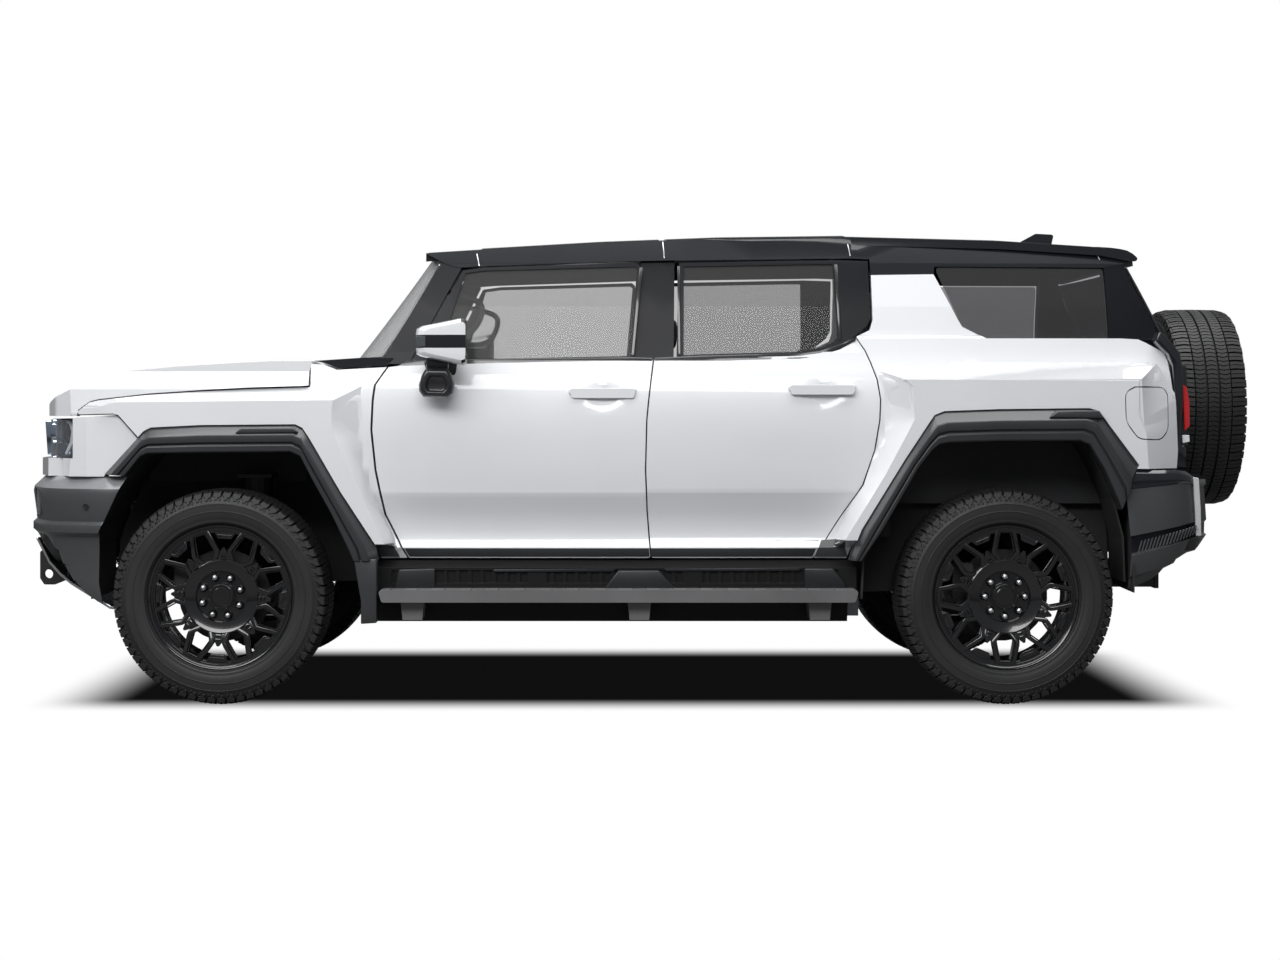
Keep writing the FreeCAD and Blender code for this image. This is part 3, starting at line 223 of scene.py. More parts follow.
materials = {
    "paint": plainMaterial("whitePaint", (0.80, 0.81, 0.83), 0.32, 0.0, 0.015, None,
                           Coat_Weight=1.0, Coat_Roughness=0.03),
    "roofBlack": plainMaterial("glossBlack", (0.014, 0.015, 0.018), 0.2, 0.0, 0.05, None,
                               Specular_IOR_Level=0.3, Coat_Weight=0.35, Coat_Roughness=0.03),
    "cladding": plainMaterial("grainedCladding", (0.058, 0.060, 0.063), 0.42, 0.0, 0.08, (900.0, 0.2),
                              Coat_Weight=0.4, Coat_Roughness=0.18),
    "trimBlack": plainMaterial("satinBlack", (0.015, 0.016, 0.018), 0.35, 0.0, 0.08, (700.0, 0.12)),
    "glassClear": glassMaterial("clearGlass", (0.80, 0.80, 0.80), 0.01),
    "glassRear": glassMaterial("rearGlass", (0.73, 0.73, 0.73), 0.01),
    "glassTinted": glassMaterial("tintedGlass", (0.55, 0.55, 0.56), 0.02),
    "frameBlack": plainMaterial("frameBlack", (0.006, 0.0065, 0.009), 0.35, 0.0, 0.05, None,
                                Specular_IOR_Level=0.2),
    "channelBlack": plainMaterial("channelBlack", (0.02, 0.02, 0.022), 0.22, 0.0, 0.05, None,
                                  Coat_Weight=0.6, Coat_Roughness=0.1),
    "flareBlack": plainMaterial("flareBlack", (0.030, 0.031, 0.034), 0.33, 0.0, 0.08, (900.0, 0.1),
                                Coat_Weight=0.6, Coat_Roughness=0.14),
    # A lighter grey for the front bumper's upward top faces: a painted highlight where overhead light falls.
    "paintedHighlightGrey": plainMaterial("paintedHighlightGrey", (0.24, 0.245, 0.255), 0.4, 0.0, 0.06, (900.0, 0.12),
                              Coat_Weight=0.8, Coat_Roughness=0.12),
    "capBlack": plainMaterial("capBlack", (0.010, 0.011, 0.014), 0.16, 0.0, 0.05, None,
                              Coat_Weight=0.7, Coat_Roughness=0.05),
    "stripSilver": plainMaterial("stripSilver", (0.82, 0.83, 0.84), 0.3, 0.4, 0.05),
    "linerBlack": plainMaterial("linerBlack", (0.022, 0.022, 0.023), 0.75, 0.0, 0.1, (500.0, 0.3)),
    "stepGrey": plainMaterial("stepGrey", (0.14, 0.14, 0.143), 0.6, 0.0, 0.12, (420.0, 0.5)),
    "rockerBlack": plainMaterial("rockerBlack", (0.006, 0.006, 0.0065), 0.6, 0.0, 0.1, (700.0, 0.25),
                                 Specular_IOR_Level=0.25),
    "lampChrome": plainMaterial("lampChrome", (0.42, 0.50, 0.62), 0.12, 1.0, 0.3, (40.0, 0.3)),
    "lampWhite": plainMaterial("lampWhite", (0.85, 0.86, 0.88), 0.2, 0.0, 0.02),
    "lampAmber": plainMaterial("lampAmber", (0.62, 0.17, 0.01), 0.15, 0.0, 0.1, None, Coat_Weight=1.0),
    "lampDark": plainMaterial("lampDark", (0.10, 0.11, 0.115), 0.1, 0.3, 0.2, (60.0, 0.4),
                              Coat_Weight=1.0, Coat_Roughness=0.02),
    "mirrorSilver": plainMaterial("mirrorSilver", (0.8, 0.82, 0.84), 0.03, 1.0, 0.02),
    "tyre": plainMaterial("tyreRubber", (0.016, 0.016, 0.0165), 0.52, 0.0, 0.12, (420.0, 0.35)),
    "rimBlack": plainMaterial("wheelBlack", (0.006, 0.006, 0.007), 0.2, 0.0, 0.05, None,
                              Coat_Weight=0.8, Coat_Roughness=0.05),
    "darkMetal": plainMaterial("castDark", (0.05, 0.05, 0.052), 0.5, 0.5, 0.2, (300.0, 0.2)),
    "alloy": plainMaterial("brushedAlloy", (0.62, 0.63, 0.65), 0.28, 1.0, 0.12, (500.0, 0.08)),
    "lampClear": glassMaterial("clearLens", (0.86, 0.88, 0.9), 0.04),
    "lampRed": plainMaterial("redLens", (0.55, 0.01, 0.012), 0.12, 0.0, 0.05, None,
                             Coat_Weight=1.0, Coat_Roughness=0.02),
    "interior": plainMaterial("cabinGrain", (0.03, 0.031, 0.034), 0.6, 0.0, 0.1, (800.0, 0.3)),
    "seat": plainMaterial("seatCover", (0.05, 0.05, 0.055), 0.55, 0.0, 0.12, (260.0, 0.35)),
    "battery": plainMaterial("castCase", (0.2, 0.21, 0.22), 0.42, 0.8, 0.12, (240.0, 0.15)),
}

shadeUpward(materials["paint"], 0.40, 0.95, 0.62)
slotMaterials = {
    "body_paint": "paint", "roof_black": "roofBlack", "cladding": "cladding", "trim_black": "trimBlack",
    "glass_clear": "glassClear", "glass_tinted": "glassTinted", "tyre": "tyre", "rim_black": "rimBlack",
    "dark_metal": "darkMetal", "alloy": "alloy", "lamp_clear": "lampClear", "lamp_red": "lampRed",
    "interior_dark": "interior", "seat_cover": "seat", "battery_case": "battery",
}
nodeMaterials = {
    "rear_door_glass_left": "glassRear", "rear_door_glass_right": "glassRear", "side_steps": "stepGrey",
    "sill_cladding": "rockerBlack", "arch_liners": "linerBlack", "pillars": "frameBlack",
}
for row in frame["record"]["subparts"]:
    piece = cadNodes[row["node"]]
    piece.data.materials.clear()
    chosen = nodeMaterials.get(row["node"], slotMaterials[row["material_slot"]])
    piece.data.materials.append(materials[chosen])
print("materials ready")


# Modelling helpers round Blender's own tools

def pickOnly(*pieces):
    bpy.ops.object.select_all(action="DESELECT")
    for piece in pieces:
        piece.select_set(True)
    bpy.context.view_layer.objects.active = pieces[0]


def inPlane(plane, offset, a, b):
    return {"XZ": (a, offset, b), "YZ": (offset, a, b), "XY": (a, b, offset)}[plane]


def box(left, right, low, high):
    return [(left, low), (right, low), (right, high), (left, high)]


def outlinePiece(name, points, plane="XY", offset=0.0, filled=True):
    # A ring of corners, put on the outline one by one.
    bpy.ops.object.select_all(action="DESELECT")
    bpy.ops.mesh.primitive_circle_add(vertices=len(points), fill_type="NGON" if filled else "NOTHING")
    piece = bpy.context.object
    piece.name = name
    for vertex, point in zip(piece.data.vertices, points):
        vertex.co = inPlane(plane, offset, *point)
    return piece


def addBevel(piece, width, segments=2, angle=30):
    bevel = piece.modifiers.new("ease", "BEVEL")
    bevel.width = width
    bevel.segments = segments
    bevel.limit_method = "ANGLE"
    bevel.angle_limit = math.radians(angle)
    bevel.use_clamp_overlap = True


def applyAll(piece):
    pickOnly(piece)
    for modifier in list(piece.modifiers):
        bpy.ops.object.modifier_apply(modifier=modifier.name)


def eased(piece, width, segments=2, angle=30):
    addBevel(piece, width, segments, angle)
    applyAll(piece)
    return piece


def addWeld(piece):
    weld = piece.modifiers.new("weld", "WELD")
    weld.merge_threshold = 0.00005


def addWeightedNormals(piece):
    normals = piece.modifiers.new("normals", "WEIGHTED_NORMAL")
    normals.keep_sharp = True


def thicken(piece, thickness):
    wall = piece.modifiers.new("wall", "SOLIDIFY")
    wall.thickness = thickness
    wall.offset = -1.0
    applyAll(piece)


def carve(piece, cutter, operation="DIFFERENCE"):
    # Cuts one piece with another, which is then taken away.
    tool = piece.modifiers.new("carve", "BOOLEAN")
    tool.operation = operation
    tool.solver = "EXACT"
    tool.object = cutter
    applyAll(piece)
    bpy.data.objects.remove(cutter, do_unlink=True)


def meshPiece(name, mesh):
    sheet = bpy.data.meshes.new(name)
    mesh.to_mesh(sheet)
    mesh.free()
    piece = bpy.data.objects.new(name, sheet)
    bpy.context.scene.collection.objects.link(piece)
    return piece


def ringsPiece(name, places, closed=True, turned=False):
    # Rings of places, joined one to the next; closed rings get a face at both ends.
    mesh = bmesh.new()
    rings = [[mesh.verts.new(place) for place in ring] for ring in places]
    count = len(rings[0])
    for ring, following in zip(rings, rings[1:]):
        for here in range(count if closed else count - 1):
            after = (here + 1) % count
            mesh.faces.new((ring[here], ring[after], following[after], following[here]))
    if closed:
        mesh.faces.new(rings[0][::-1] if turned else rings[0])
        mesh.faces.new(rings[-1] if turned else rings[-1][::-1])
    bmesh.ops.recalc_face_normals(mesh, faces=mesh.faces)
    return meshPiece(name, mesh)


def plate(name, points, plane, offset, depth, ring=0.0, ease=0.0, segments=2):
    # A plate from offset to offset + depth; ring leaves only a frame of that width.
    piece = outlinePiece(name, points, plane, offset)
    pickOnly(piece)
    bpy.ops.object.mode_set(mode="EDIT")
    bpy.ops.mesh.select_all(action="SELECT")
    if ring:
        bpy.ops.mesh.inset(thickness=ring)
        bpy.ops.mesh.delete(type="FACE")
        bpy.ops.mesh.select_all(action="SELECT")
    push = inPlane(plane, depth, 0.0, 0.0)
    bpy.ops.mesh.extrude_region_move(TRANSFORM_OT_translate={"value": push})
    bpy.ops.mesh.select_all(action="SELECT")
    bpy.ops.mesh.normals_make_consistent(inside=False)
    bpy.ops.object.mode_set(mode="OBJECT")
    return eased(piece, ease, segments) if ease else piece


def spunPiece(name, section, steps):
    # A closed section of (place along the axle, radius), spun round the Y axis.
    piece = outlinePiece(name, section, "YZ", 0.0, filled=False)
    pickOnly(piece)
    bpy.ops.object.mode_set(mode="EDIT")
    bpy.ops.mesh.select_all(action="SELECT")
    bpy.ops.mesh.spin(steps=steps, angle=2 * math.pi, center=(0, 0, 0), axis=(0, 1, 0))
    bpy.ops.mesh.select_all(action="SELECT")
    bpy.ops.mesh.remove_doubles(threshold=0.00002)
    bpy.ops.mesh.normals_make_consistent(inside=False)
    bpy.ops.object.mode_set(mode="OBJECT")
    return piece


def joined(name, pieces):
    pickOnly(*pieces)
    if len(pieces) > 1:
        bpy.ops.object.join()
    pieces[0].name = name
    return pieces[0]


def ringArray(piece, count):
    # Repeats a piece round the Y axis.
    bpy.ops.object.select_all(action="DESELECT")
    bpy.ops.object.empty_add(rotation=(0, 2 * math.pi / count, 0))
    guide = bpy.context.object
    repeat = piece.modifiers.new("round", "ARRAY")
    repeat.count = count
    repeat.use_relative_offset = False
    repeat.use_object_offset = True
    repeat.offset_object = guide
    applyAll(piece)
    pickOnly(guide)
    bpy.ops.object.delete()
    return piece


def smoothed(piece, angle=30):
    pickOnly(piece)
    bpy.ops.object.shade_smooth_by_angle(angle=math.radians(angle))
    return piece


def dress(piece, body, material, slotName):
    piece.data.materials.clear()
    piece.data.materials.append(materials[material])
    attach(piece, body)
    return piece


def copyAt(piece, name, matrix):
    twin = bpy.data.objects.new(name, piece.data.copy())
    bpy.context.scene.collection.objects.link(twin)
    twin.data.transform(matrix)
    if matrix.determinant() < 0:
        twin.data.flip_normals()
    return twin


def remap(piece, move):
    for vertex in piece.data.vertices:
        vertex.co = move(vertex.co)
    return piece


# Tyres: a spun carcass, with the tread and the shoulder lugs modelled for one pitch and repeated.

tyre = {
    "radius": 0.442,
    "pitches": 33,
    "spinSteps": 198,
    "grooveFloor": 0.424,
    "wall": [(0.1165, 0.2830), (0.1240, 0.2910), (0.1310, 0.3000), (0.1385, 0.3045), (0.1430, 0.3055),
             (0.1455, 0.3090), (0.1462, 0.3135), (0.1458, 0.3180), (0.1475, 0.3220), (0.1500, 0.3330),
             (0.1512, 0.3450), (0.1516, 0.3490), (0.1532, 0.3505), (0.1532, 0.3535), (0.1518, 0.3550),
             (0.1520, 0.3720), (0.1518, 0.3800), (0.1530, 0.3812), (0.1528, 0.3836), (0.1512, 0.3850),
             (0.1490, 0.3985), (0.1455, 0.4080), (0.1400, 0.4165), (0.1300, 0.4225), (0.1180, 0.4240),
             (0.0600, 0.4250)],
    "inside": [(0.1050, 0.4130), (0.1340, 0.3950), (0.1390, 0.3500), (0.1180, 0.3100)],
    # Three rows of tread ribs, as their middle and lean; a rib is (along, share of its half width).
    "ribRows": [(-0.054, 1), (0.0, -1), (0.054, 1)],
    "ribHalf": 0.0225,
    "rib": [(0.0, -1), (0.0175, -1), (0.0235, 0), (0.0175, 1), (0.0, 1), (0.006, 0)],
    # Shoulder lugs, a long and a short one by turns, and the blocks under them on the wall.
    "lugs": [(0.0, 0.0160), (0.0180, 0.0345)],
    "lugReach": (0.1440, 0.1390),
    "wallLugHeight": (0.0058, 0.0042),
    "wallLug": [(0.001, 0.4290), (0.0345, 0.4290), (0.0375, 0.4170), (0.0300, 0.4100), (0.0330, 0.3985),
                (0.0200, 0.3985), (0.0170, 0.4080), (0.0060, 0.4120)],
    "wallHook": [(0.0020, 0.4060), (0.0100, 0.4040), (0.0130, 0.3940), (0.0050, 0.3940)],
    "wallHookHeight": 0.0030,
    "root": 0.004,
}


def treadTop(across):
    return tyre["radius"] - 0.0035 * (across / 0.13) ** 2 - max(0.0, abs(across) - 0.128) * 0.45


def wrapTread(point):
    # (round the tyre, across it, height) to a place on the tyre.
    radius = tyre["grooveFloor"] + point.z * (treadTop(point.y) - tyre["grooveFloor"])
    angle = point.x / tyre["radius"]
    return Vector((radius * math.sin(angle), point.y, radius * math.cos(angle)))


def wrapWall(side):
    def move(point):
        wall = 0.1490 - 0.22 * max(0.0, point.y - 0.398)
        angle = point.x / tyre["radius"]
        return Vector((point.y * math.sin(angle), side * (wall + point.z), point.y * math.cos(angle)))
    return move


def buildTyre():
    pitch = 2 * math.pi * tyre["radius"] / tyre["pitches"]
    half = pitch / 2
    section = tyre["wall"] + [(-across, radius) for across, radius in reversed(tyre["wall"])]
    inside = tyre["inside"]
    section += [(-across, radius) for across, radius in reversed(inside)] + inside
    carcass = smoothed(spunPiece("carcass", section, tyre["spinSteps"]), 40)
    blocks = []
    point = max(along for along, share in tyre["rib"])
    for centre, lean in tyre["ribRows"]:
        for place in range(4):
            start = place * half / 2
            corners = [(start + along, centre + tyre["ribHalf"] * share) for along, share in tyre["rib"]]
            if lean < 0:
                corners = [(2 * start + point - along, across) for along, across in reversed(corners)]
            blocks.append(remap(plate("rib", corners, "XY", 0.0, 1.0), wrapTread))
    root = tyre["root"]
    for side in (1, -1):
        for place, reach, height in zip((0.0, half), tyre["lugReach"], tyre["wallLugHeight"]):
            for first, last in tyre["lugs"]:
                corners = [(place + first + 0.004, side * 0.0820), (place + last + 0.004, side * 0.0820),
                           (place + last + 0.001, side * 0.1080), (place + last, side * reach),
                           (place + first, side * reach), (place + first + 0.001, side * 0.1080)]
                blocks.append(remap(plate("lug", corners, "XY", 0.0, 1.0), wrapTread))
            for name, rise in (("wallLug", height), ("wallHook", tyre["wallHookHeight"])):
                outline = [(place + along, radius) for along, radius in tyre[name]]
                blocks.append(remap(plate(name, outline, "XY", -root, rise + root), wrapWall(side)))
    tread = joined("tread", blocks)
    eased(tread, 0.0009, 1, 40)
    ringArray(tread, tyre["pitches"])
    smoothed(tread, 20)
    return joined("tyreModel", [carcass, tread])


# Rims: a spun barrel, eight six-sided frames over a dished centre, lug nuts and a plain cap.

rim = {
    "spinSteps": 160,
    "petals": 8,
    "petal": [(0.133, -0.020), (0.180, -0.058), (0.200, -0.056), (0.276, -0.040), (0.284, -0.030),
              (0.284, 0.030), (0.276, 0.040), (0.200, 0.056), (0.180, 0.058), (0.133, 0.020)],
    "petalBar": 0.0165,
    "petalDepth": 0.034,
    "petalStep": [(0.150, -0.016), (0.182, -0.040), (0.268, -0.024), (0.268, 0.024), (0.182, 0.040),
                  (0.150, 0.016)],
    "bridges": [(0.153, 0.010), (0.171, 0.007)],
    "forkStep": [(0.238, -0.027), (0.247, -0.034), (0.276, -0.052), (0.284, -0.030), (0.284, 0.030),
                 (0.276, 0.052), (0.247, 0.034), (0.238, 0.027)],
    "forkRidge": [(0.2500, -0.030), (0.2545, -0.033), (0.2700, -0.040), (0.2760, -0.030), (0.2760, 0.030),
                  (0.2700, 0.040), (0.2545, 0.033), (0.2500, 0.030)],
    "web": [(0.128, -0.030), (0.175, -0.020), (0.204, -0.004), (0.204, 0.004), (0.175, 0.020),
            (0.128, 0.030)],
    "barrel": [(0.131, 0.2900), (0.1325, 0.2935), (0.131, 0.2960), (0.119, 0.2960), (0.117, 0.2800),
               (-0.117, 0.2800), (-0.119, 0.2960), (-0.131, 0.2960), (-0.131, 0.2720), (-0.111, 0.2660),
               (0.060, 0.2620), (0.086, 0.2600), (0.100, 0.2640), (0.1005, 0.2690), (0.108, 0.2700),
               (0.1085, 0.2760), (0.116, 0.2770), (0.1165, 0.2830), (0.126, 0.2850)],
    "centre": [(0.088, 0.0555), (0.076, 0.0575), (0.076, 0.1030), (0.089, 0.1060), (0.094, 0.1330),
               (0.101, 0.1480), (0.098, 0.1530), (0.070, 0.1500), (0.052, 0.1200), (0.052, 0.0400),
               (0.088, 0.0400)],
    "cap": [(0.104, 0.0), (0.104, 0.0360), (0.1025, 0.0385), (0.1025, 0.0400), (0.105, 0.0415),
            (0.105, 0.0490), (0.102, 0.0520), (0.080, 0.0520), (0.080, 0.0)],
    "pocket": [(0.076, 0.0), (0.0775, 0.0125), (0.0815, 0.0155), (0.0835, 0.0185), (0.079, 0.0195),
               (0.074, 0.0190), (0.074, 0.0)],
    "turns": {"front": 26, "rear": 0},
    "nutCircle": 0.082,
    "nutRadius": 0.0125,
    "dish": [(0.0, 0.100), (0.050, 0.100), (0.104, 0.086), (0.140, 0.096), (0.185, 0.112), (0.215, 0.118),
             (0.262, 0.115), (0.300, 0.110)],
}


def dishHeight(radius):
    points = rim["dish"]
    for (near, low), (far, high) in zip(points, points[1:]):
        if radius <= far:
            return low + (high - low) * (radius - near) / (far - near)
    return points[-1][1]


def onDish(point):
    # Height over the dished face is measured from the plate's own zero.
    return Vector((point.x, point.y + dishHeight(math.hypot(point.x, point.z)), point.z))


def ringAround(name, section, steps):
    return smoothed(spunPiece(name, section, steps), 28)


def buildRim():
    steps = rim["spinSteps"]
    barrel = ringAround("barrel", rim["barrel"], steps)
    centre = ringAround("centre", rim["centre"], steps)
    cap = ringAround("cap", rim["cap"], steps // 2)
    petal = plate("petalFrame", rim["petal"], "XZ", -rim["petalDepth"], rim["petalDepth"], rim["petalBar"])
    lower = plate("petalStep", rim["petalStep"], "XZ", -0.050, 0.040, 0.005)
    frames = [eased(petal, 0.0032, 2, 40), eased(lower, 0.001, 1, 40)]
    between = [plate("node", box(place, place + length, -0.011, 0.011), "XZ", -0.030, 0.0335, 0.0, 0.0018)
               for place, length in rim["bridges"]]
    between.append(plate("forkStep", rim["forkStep"], "XZ", -0.034, 0.022, 0.0, 0.0015))
    between.append(plate("forkRidge", rim["forkRidge"], "XZ", -0.020, 0.0125, 0.0045, 0.0012))
    between.append(plate("web", rim["web"], "XZ", -0.036, 0.030, 0.0, 0.002))
    halfTurn = Matrix.Rotation(math.pi / rim["petals"], 3, "Y")
    frames += [remap(piece, lambda point: halfTurn @ point) for piece in between]
    spoke = remap(joined("spoke", frames), onDish)
    ringArray(spoke, rim["petals"])
    smoothed(spoke, 25)
    pocket = ringAround("pocket", rim["pocket"], 24)
    pocket.data.transform(Matrix.Translation((rim["nutCircle"], 0, 0)))
    ringArray(pocket, rim["petals"])
    return joined("rimModel", [barrel, centre, cap, spoke, pocket])


def buildNuts():
    # Six flats under a domed end.
    bpy.ops.object.select_all(action="DESELECT")
    bpy.ops.mesh.primitive_cylinder_add(vertices=6, radius=rim["nutRadius"], depth=0.026,
                                        location=(rim["nutCircle"], 0.090, 0), rotation=(math.pi / 2, 0, 0))
    nut = bpy.context.object
    bpy.ops.object.transform_apply(location=True, rotation=True, scale=True)
    eased(nut, 0.0036, 3, 40)
    bpy.ops.object.select_all(action="DESELECT")
    bpy.ops.mesh.primitive_uv_sphere_add(segments=16, ring_count=8, radius=0.0105,
                                         location=(rim["nutCircle"], 0.099, 0), scale=(1, 0.75, 1))
    dome = bpy.context.object
    bpy.ops.object.transform_apply(location=True, rotation=True, scale=True)
    nuts = joined("nutModel", [nut, dome])
    ringArray(nuts, rim["petals"])
    return smoothed(nuts, 35)


def wheelMatrix(x, y, z, facing, turn):
    return (Matrix.Translation((x, y, z)) @ Matrix.Rotation(math.radians(facing), 4, "Z")
            @ Matrix.Rotation(-math.radians(90 + turn), 4, "Y"))


def buildWheels():
    models = {"tyre": buildTyre(), "rim": buildRim(), "nuts": buildNuts()}
    finishes = {"tyre": ("tyre", "tyre"), "rim": ("rimBlack", "rim_black"), "nuts": ("alloy", "alloy")}
    places = [("spare", "gate", wheelMatrix(*spareHub, 90, 0))]
    for axle, x in (("front", frontAxle), ("rear", rearAxle)):
        for side, sign in (("left", 1), ("right", -1)):
            facing = 0 if sign > 0 else 180
            matrix = wheelMatrix(x, sign * wheelCentre, hubHeight, facing, rim["turns"][axle])
            places.append(("%s_%s" % (axle, side), "%s_wheel_%s" % (axle, side), matrix))
    for name, body, matrix in places:
        for kind, model in models.items():
            piece = copyAt(model, "%sDetail_%s" % (kind, name), matrix)
            dress(piece, body, *finishes[kind])
            if kind in ("tyre", "rim"):
                node = "spare_" + kind if name == "spare" else name.replace("_", "_%s_" % kind)
                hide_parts(node)
    for model in models.values():
        bpy.data.objects.remove(model)


buildWheels()
print("wheels ready")


# Edges of the CAD pieces are eased, so that they catch light.

def easeEdges(piece, width):
    addWeld(piece)
    addBevel(piece, width, 2, 32)
    addWeightedNormals(piece)


easing = {
    "hood": 0.006, "front_fenders": 0.006, "rear_quarters": 0.006, "front_fascia": 0.007,
    "front_door_left": 0.003, "front_door_right": 0.003, "rear_door_left": 0.003,
    "rear_door_right": 0.003, "pillars": 0.004, "sill_cladding": 0.003, "side_steps": 0.003,
    "gate_panel": 0.006, "front_skid_plate": 0.003, "cowl_panel": 0.003, "tow_hooks": 0.003,
}
for name, width in easing.items():
    easeEdges(cadNodes[name], width)


# The roof's rear edge: the thin rim that stands up behind it is trimmed, and a rounded lip is added.

roofEdge = {
    "height": 1.868,
    "crown": 0.038,
    "half": 0.748,
    "behind": -2.0388,
    "lip": [(-1.925, 0.0238), (-1.945, 0.0250), (-1.970, 0.0232), (-2.000, 0.0190), (-2.026, 0.0130),
            (-2.050, 0.0000), (-2.067, -0.015), (-2.071, -0.022), (-2.066, -0.031), (-2.056, -0.034),
            (-2.044, -0.030), (-2.000, -0.006), (-1.925, 0.014)],
    "lipHalf": 0.738,
    "stations": 24,
    "cutHalf": 0.80,
    "cutSteps": 32,
    "cutBelow": 0.010,
}


def roofCrown(y):
    return roofEdge["height"] + roofEdge["crown"] * max(1.0 - (y / roofEdge["half"]) ** 2, 0.0)


def buildRoofEdge():
    node = cadNodes["roof_frame"]
    frameCopy = bpy.data.objects.new("roofFrame", node.data.copy())
    bpy.context.scene.collection.objects.link(frameCopy)
    frameCopy.data.transform(node.matrix_world)
    addWeld(frameCopy)
    applyAll(frameCopy)
    half, steps = roofEdge["cutHalf"], roofEdge["cutSteps"]
    across = [-half + 2 * half * step / steps for step in range(steps + 1)]
    outline = [(y, roofCrown(y) - roofEdge["cutBelow"]) for y in across] + [(half, 2.10), (-half, 2.10)]
    carve(frameCopy, plate("cutter", outline, "YZ", -2.30, 2.30 + roofEdge["behind"]))
    smoothed(eased(frameCopy, 0.006, 2, 32), 32)
    addWeightedNormals(frameCopy)
    applyAll(frameCopy)
    dress(frameCopy, "root", "roofBlack", "roof_black")
    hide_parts("roof_frame")
    rings = []
    for step in range(roofEdge["stations"] + 1):
        y = -roofEdge["lipHalf"] + 2 * roofEdge["lipHalf"] * step / roofEdge["stations"]
        rings.append([(x, y, roofCrown(y) + rise) for x, rise in roofEdge["lip"]])
    lip = ringsPiece("rearLip", rings)
    dress(smoothed(lip, 50), "root", "roofBlack", "roof_black")


# The body's sides: sections as (place across, height), drawn in a little towards both ends.

bodySections = {
    "lower": [(0.938, 0.300), (0.940, 0.596), (0.962, 0.640), (0.944, 0.700), (0.950, 0.760), (0.992, 0.868),
              (1.003, 1.100), (0.990, 1.290), (0.955, 1.375), (0.915, 1.520)],
    "upper": [(0.926, 1.380), (0.905, 1.450), (0.864, 1.640), (0.800, 1.825), (0.742, 1.940), (0.722, 1.960)],
    "belt": [(0.955, 1.375), (0.951, 1.395), (0.948, 1.412), (0.936, 1.440), (0.925, 1.520)],
}
bodyMiddle = 0.1475
bodyPlanRadius = 40.0


def sideY(x, z, section):
    points = bodySections[section]
    across = points[0][0] if z < points[0][1] else points[-1][0]
    for (near, low), (far, high) in zip(points, points[1:]):
        if low <= z <= high:
            across = near + (far - near) * (z - low) / (high - low)
    return across - (x - bodyMiddle) ** 2 / (2 * bodyPlanRadius)


def metres(points):
    return [(a / 1000.0, b / 1000.0) for a, b in points]


def mirroredTwin(piece, name):
    return copyAt(piece, name, Matrix.Scale(-1, 4, (0, 1, 0)))


def bothSides(piece, name, bodyOf, material, slotName):
    # Finishes a left piece and its right twin; bodyOf gives the body for a side.
    twin = mirroredTwin(piece, name + "Right")
    piece.name = name + "Left"
    for part, side in ((piece, "left"), (twin, "right")):
        dress(part, bodyOf(side), material, slotName)


def onRoot(side):
    return "root"


def onDoor(axle):
    return lambda side: "%s_door_%s" % (axle, side)


def cutAt(piece, place, normal):
    pickOnly(piece)
    bpy.ops.object.mode_set(mode="EDIT")
    bpy.ops.mesh.select_all(action="SELECT")
    bpy.ops.mesh.bisect(plane_co=place, plane_no=normal)
    bpy.ops.object.mode_set(mode="OBJECT")


def cutAlong(piece, places, normal):
    for place in places:
        cutAt(piece, [place * part for part in normal], normal)


def evenCuts(low, high, spacing):
    steps = int((high - low) / spacing)
    return [low + (high - low) * step / (steps + 1) for step in range(1, steps + 1)]


def sidePatch(name, outer, section, lift, thickness, inner=None, ease=0.0):
    # A sheet that follows the body's side, lift above its surface, with an opening if inner is given.
    outer = metres(outer)
    mesh = bmesh.new()
    edge = [mesh.verts.new((x, 0.0, z)) for x, z in outer]
    if inner:
        hole = [mesh.verts.new((x, 0.0, z)) for x, z in metres(inner)]
        count = len(edge)
        for here in range(count):
            after = (here + 1) % count
            mesh.faces.new((edge[here], edge[after], hole[after], hole[here]))
    else:
        mesh.faces.new(edge)
    piece = meshPiece(name, mesh)
    low, high = min(z for x, z in outer), max(z for x, z in outer)
    rear, front = min(x for x, z in outer), max(x for x, z in outer)
    cutAlong(piece, [z for y, z in bodySections[section] if low < z < high], (0, 0, 1))
    cutAlong(piece, evenCuts(rear, front, 0.22), (1, 0, 0))
    remap(piece, lambda point: Vector((point.x, sideY(point.x, point.z, section) + lift, point.z)))
    pickOnly(piece)
    bpy.ops.object.mode_set(mode="EDIT")
    bpy.ops.mesh.select_all(action="SELECT")
    bpy.ops.mesh.normals_make_consistent(inside=False)
    bpy.ops.object.mode_set(mode="OBJECT")
    if piece.data.polygons[0].normal.y < 0:
        piece.data.flip_normals()
    thicken(piece, thickness)
    if ease:
        eased(piece, ease, 2, 50)
    return smoothed(piece)


# Glass edges, belt strips, door cladding and the roof's latches.

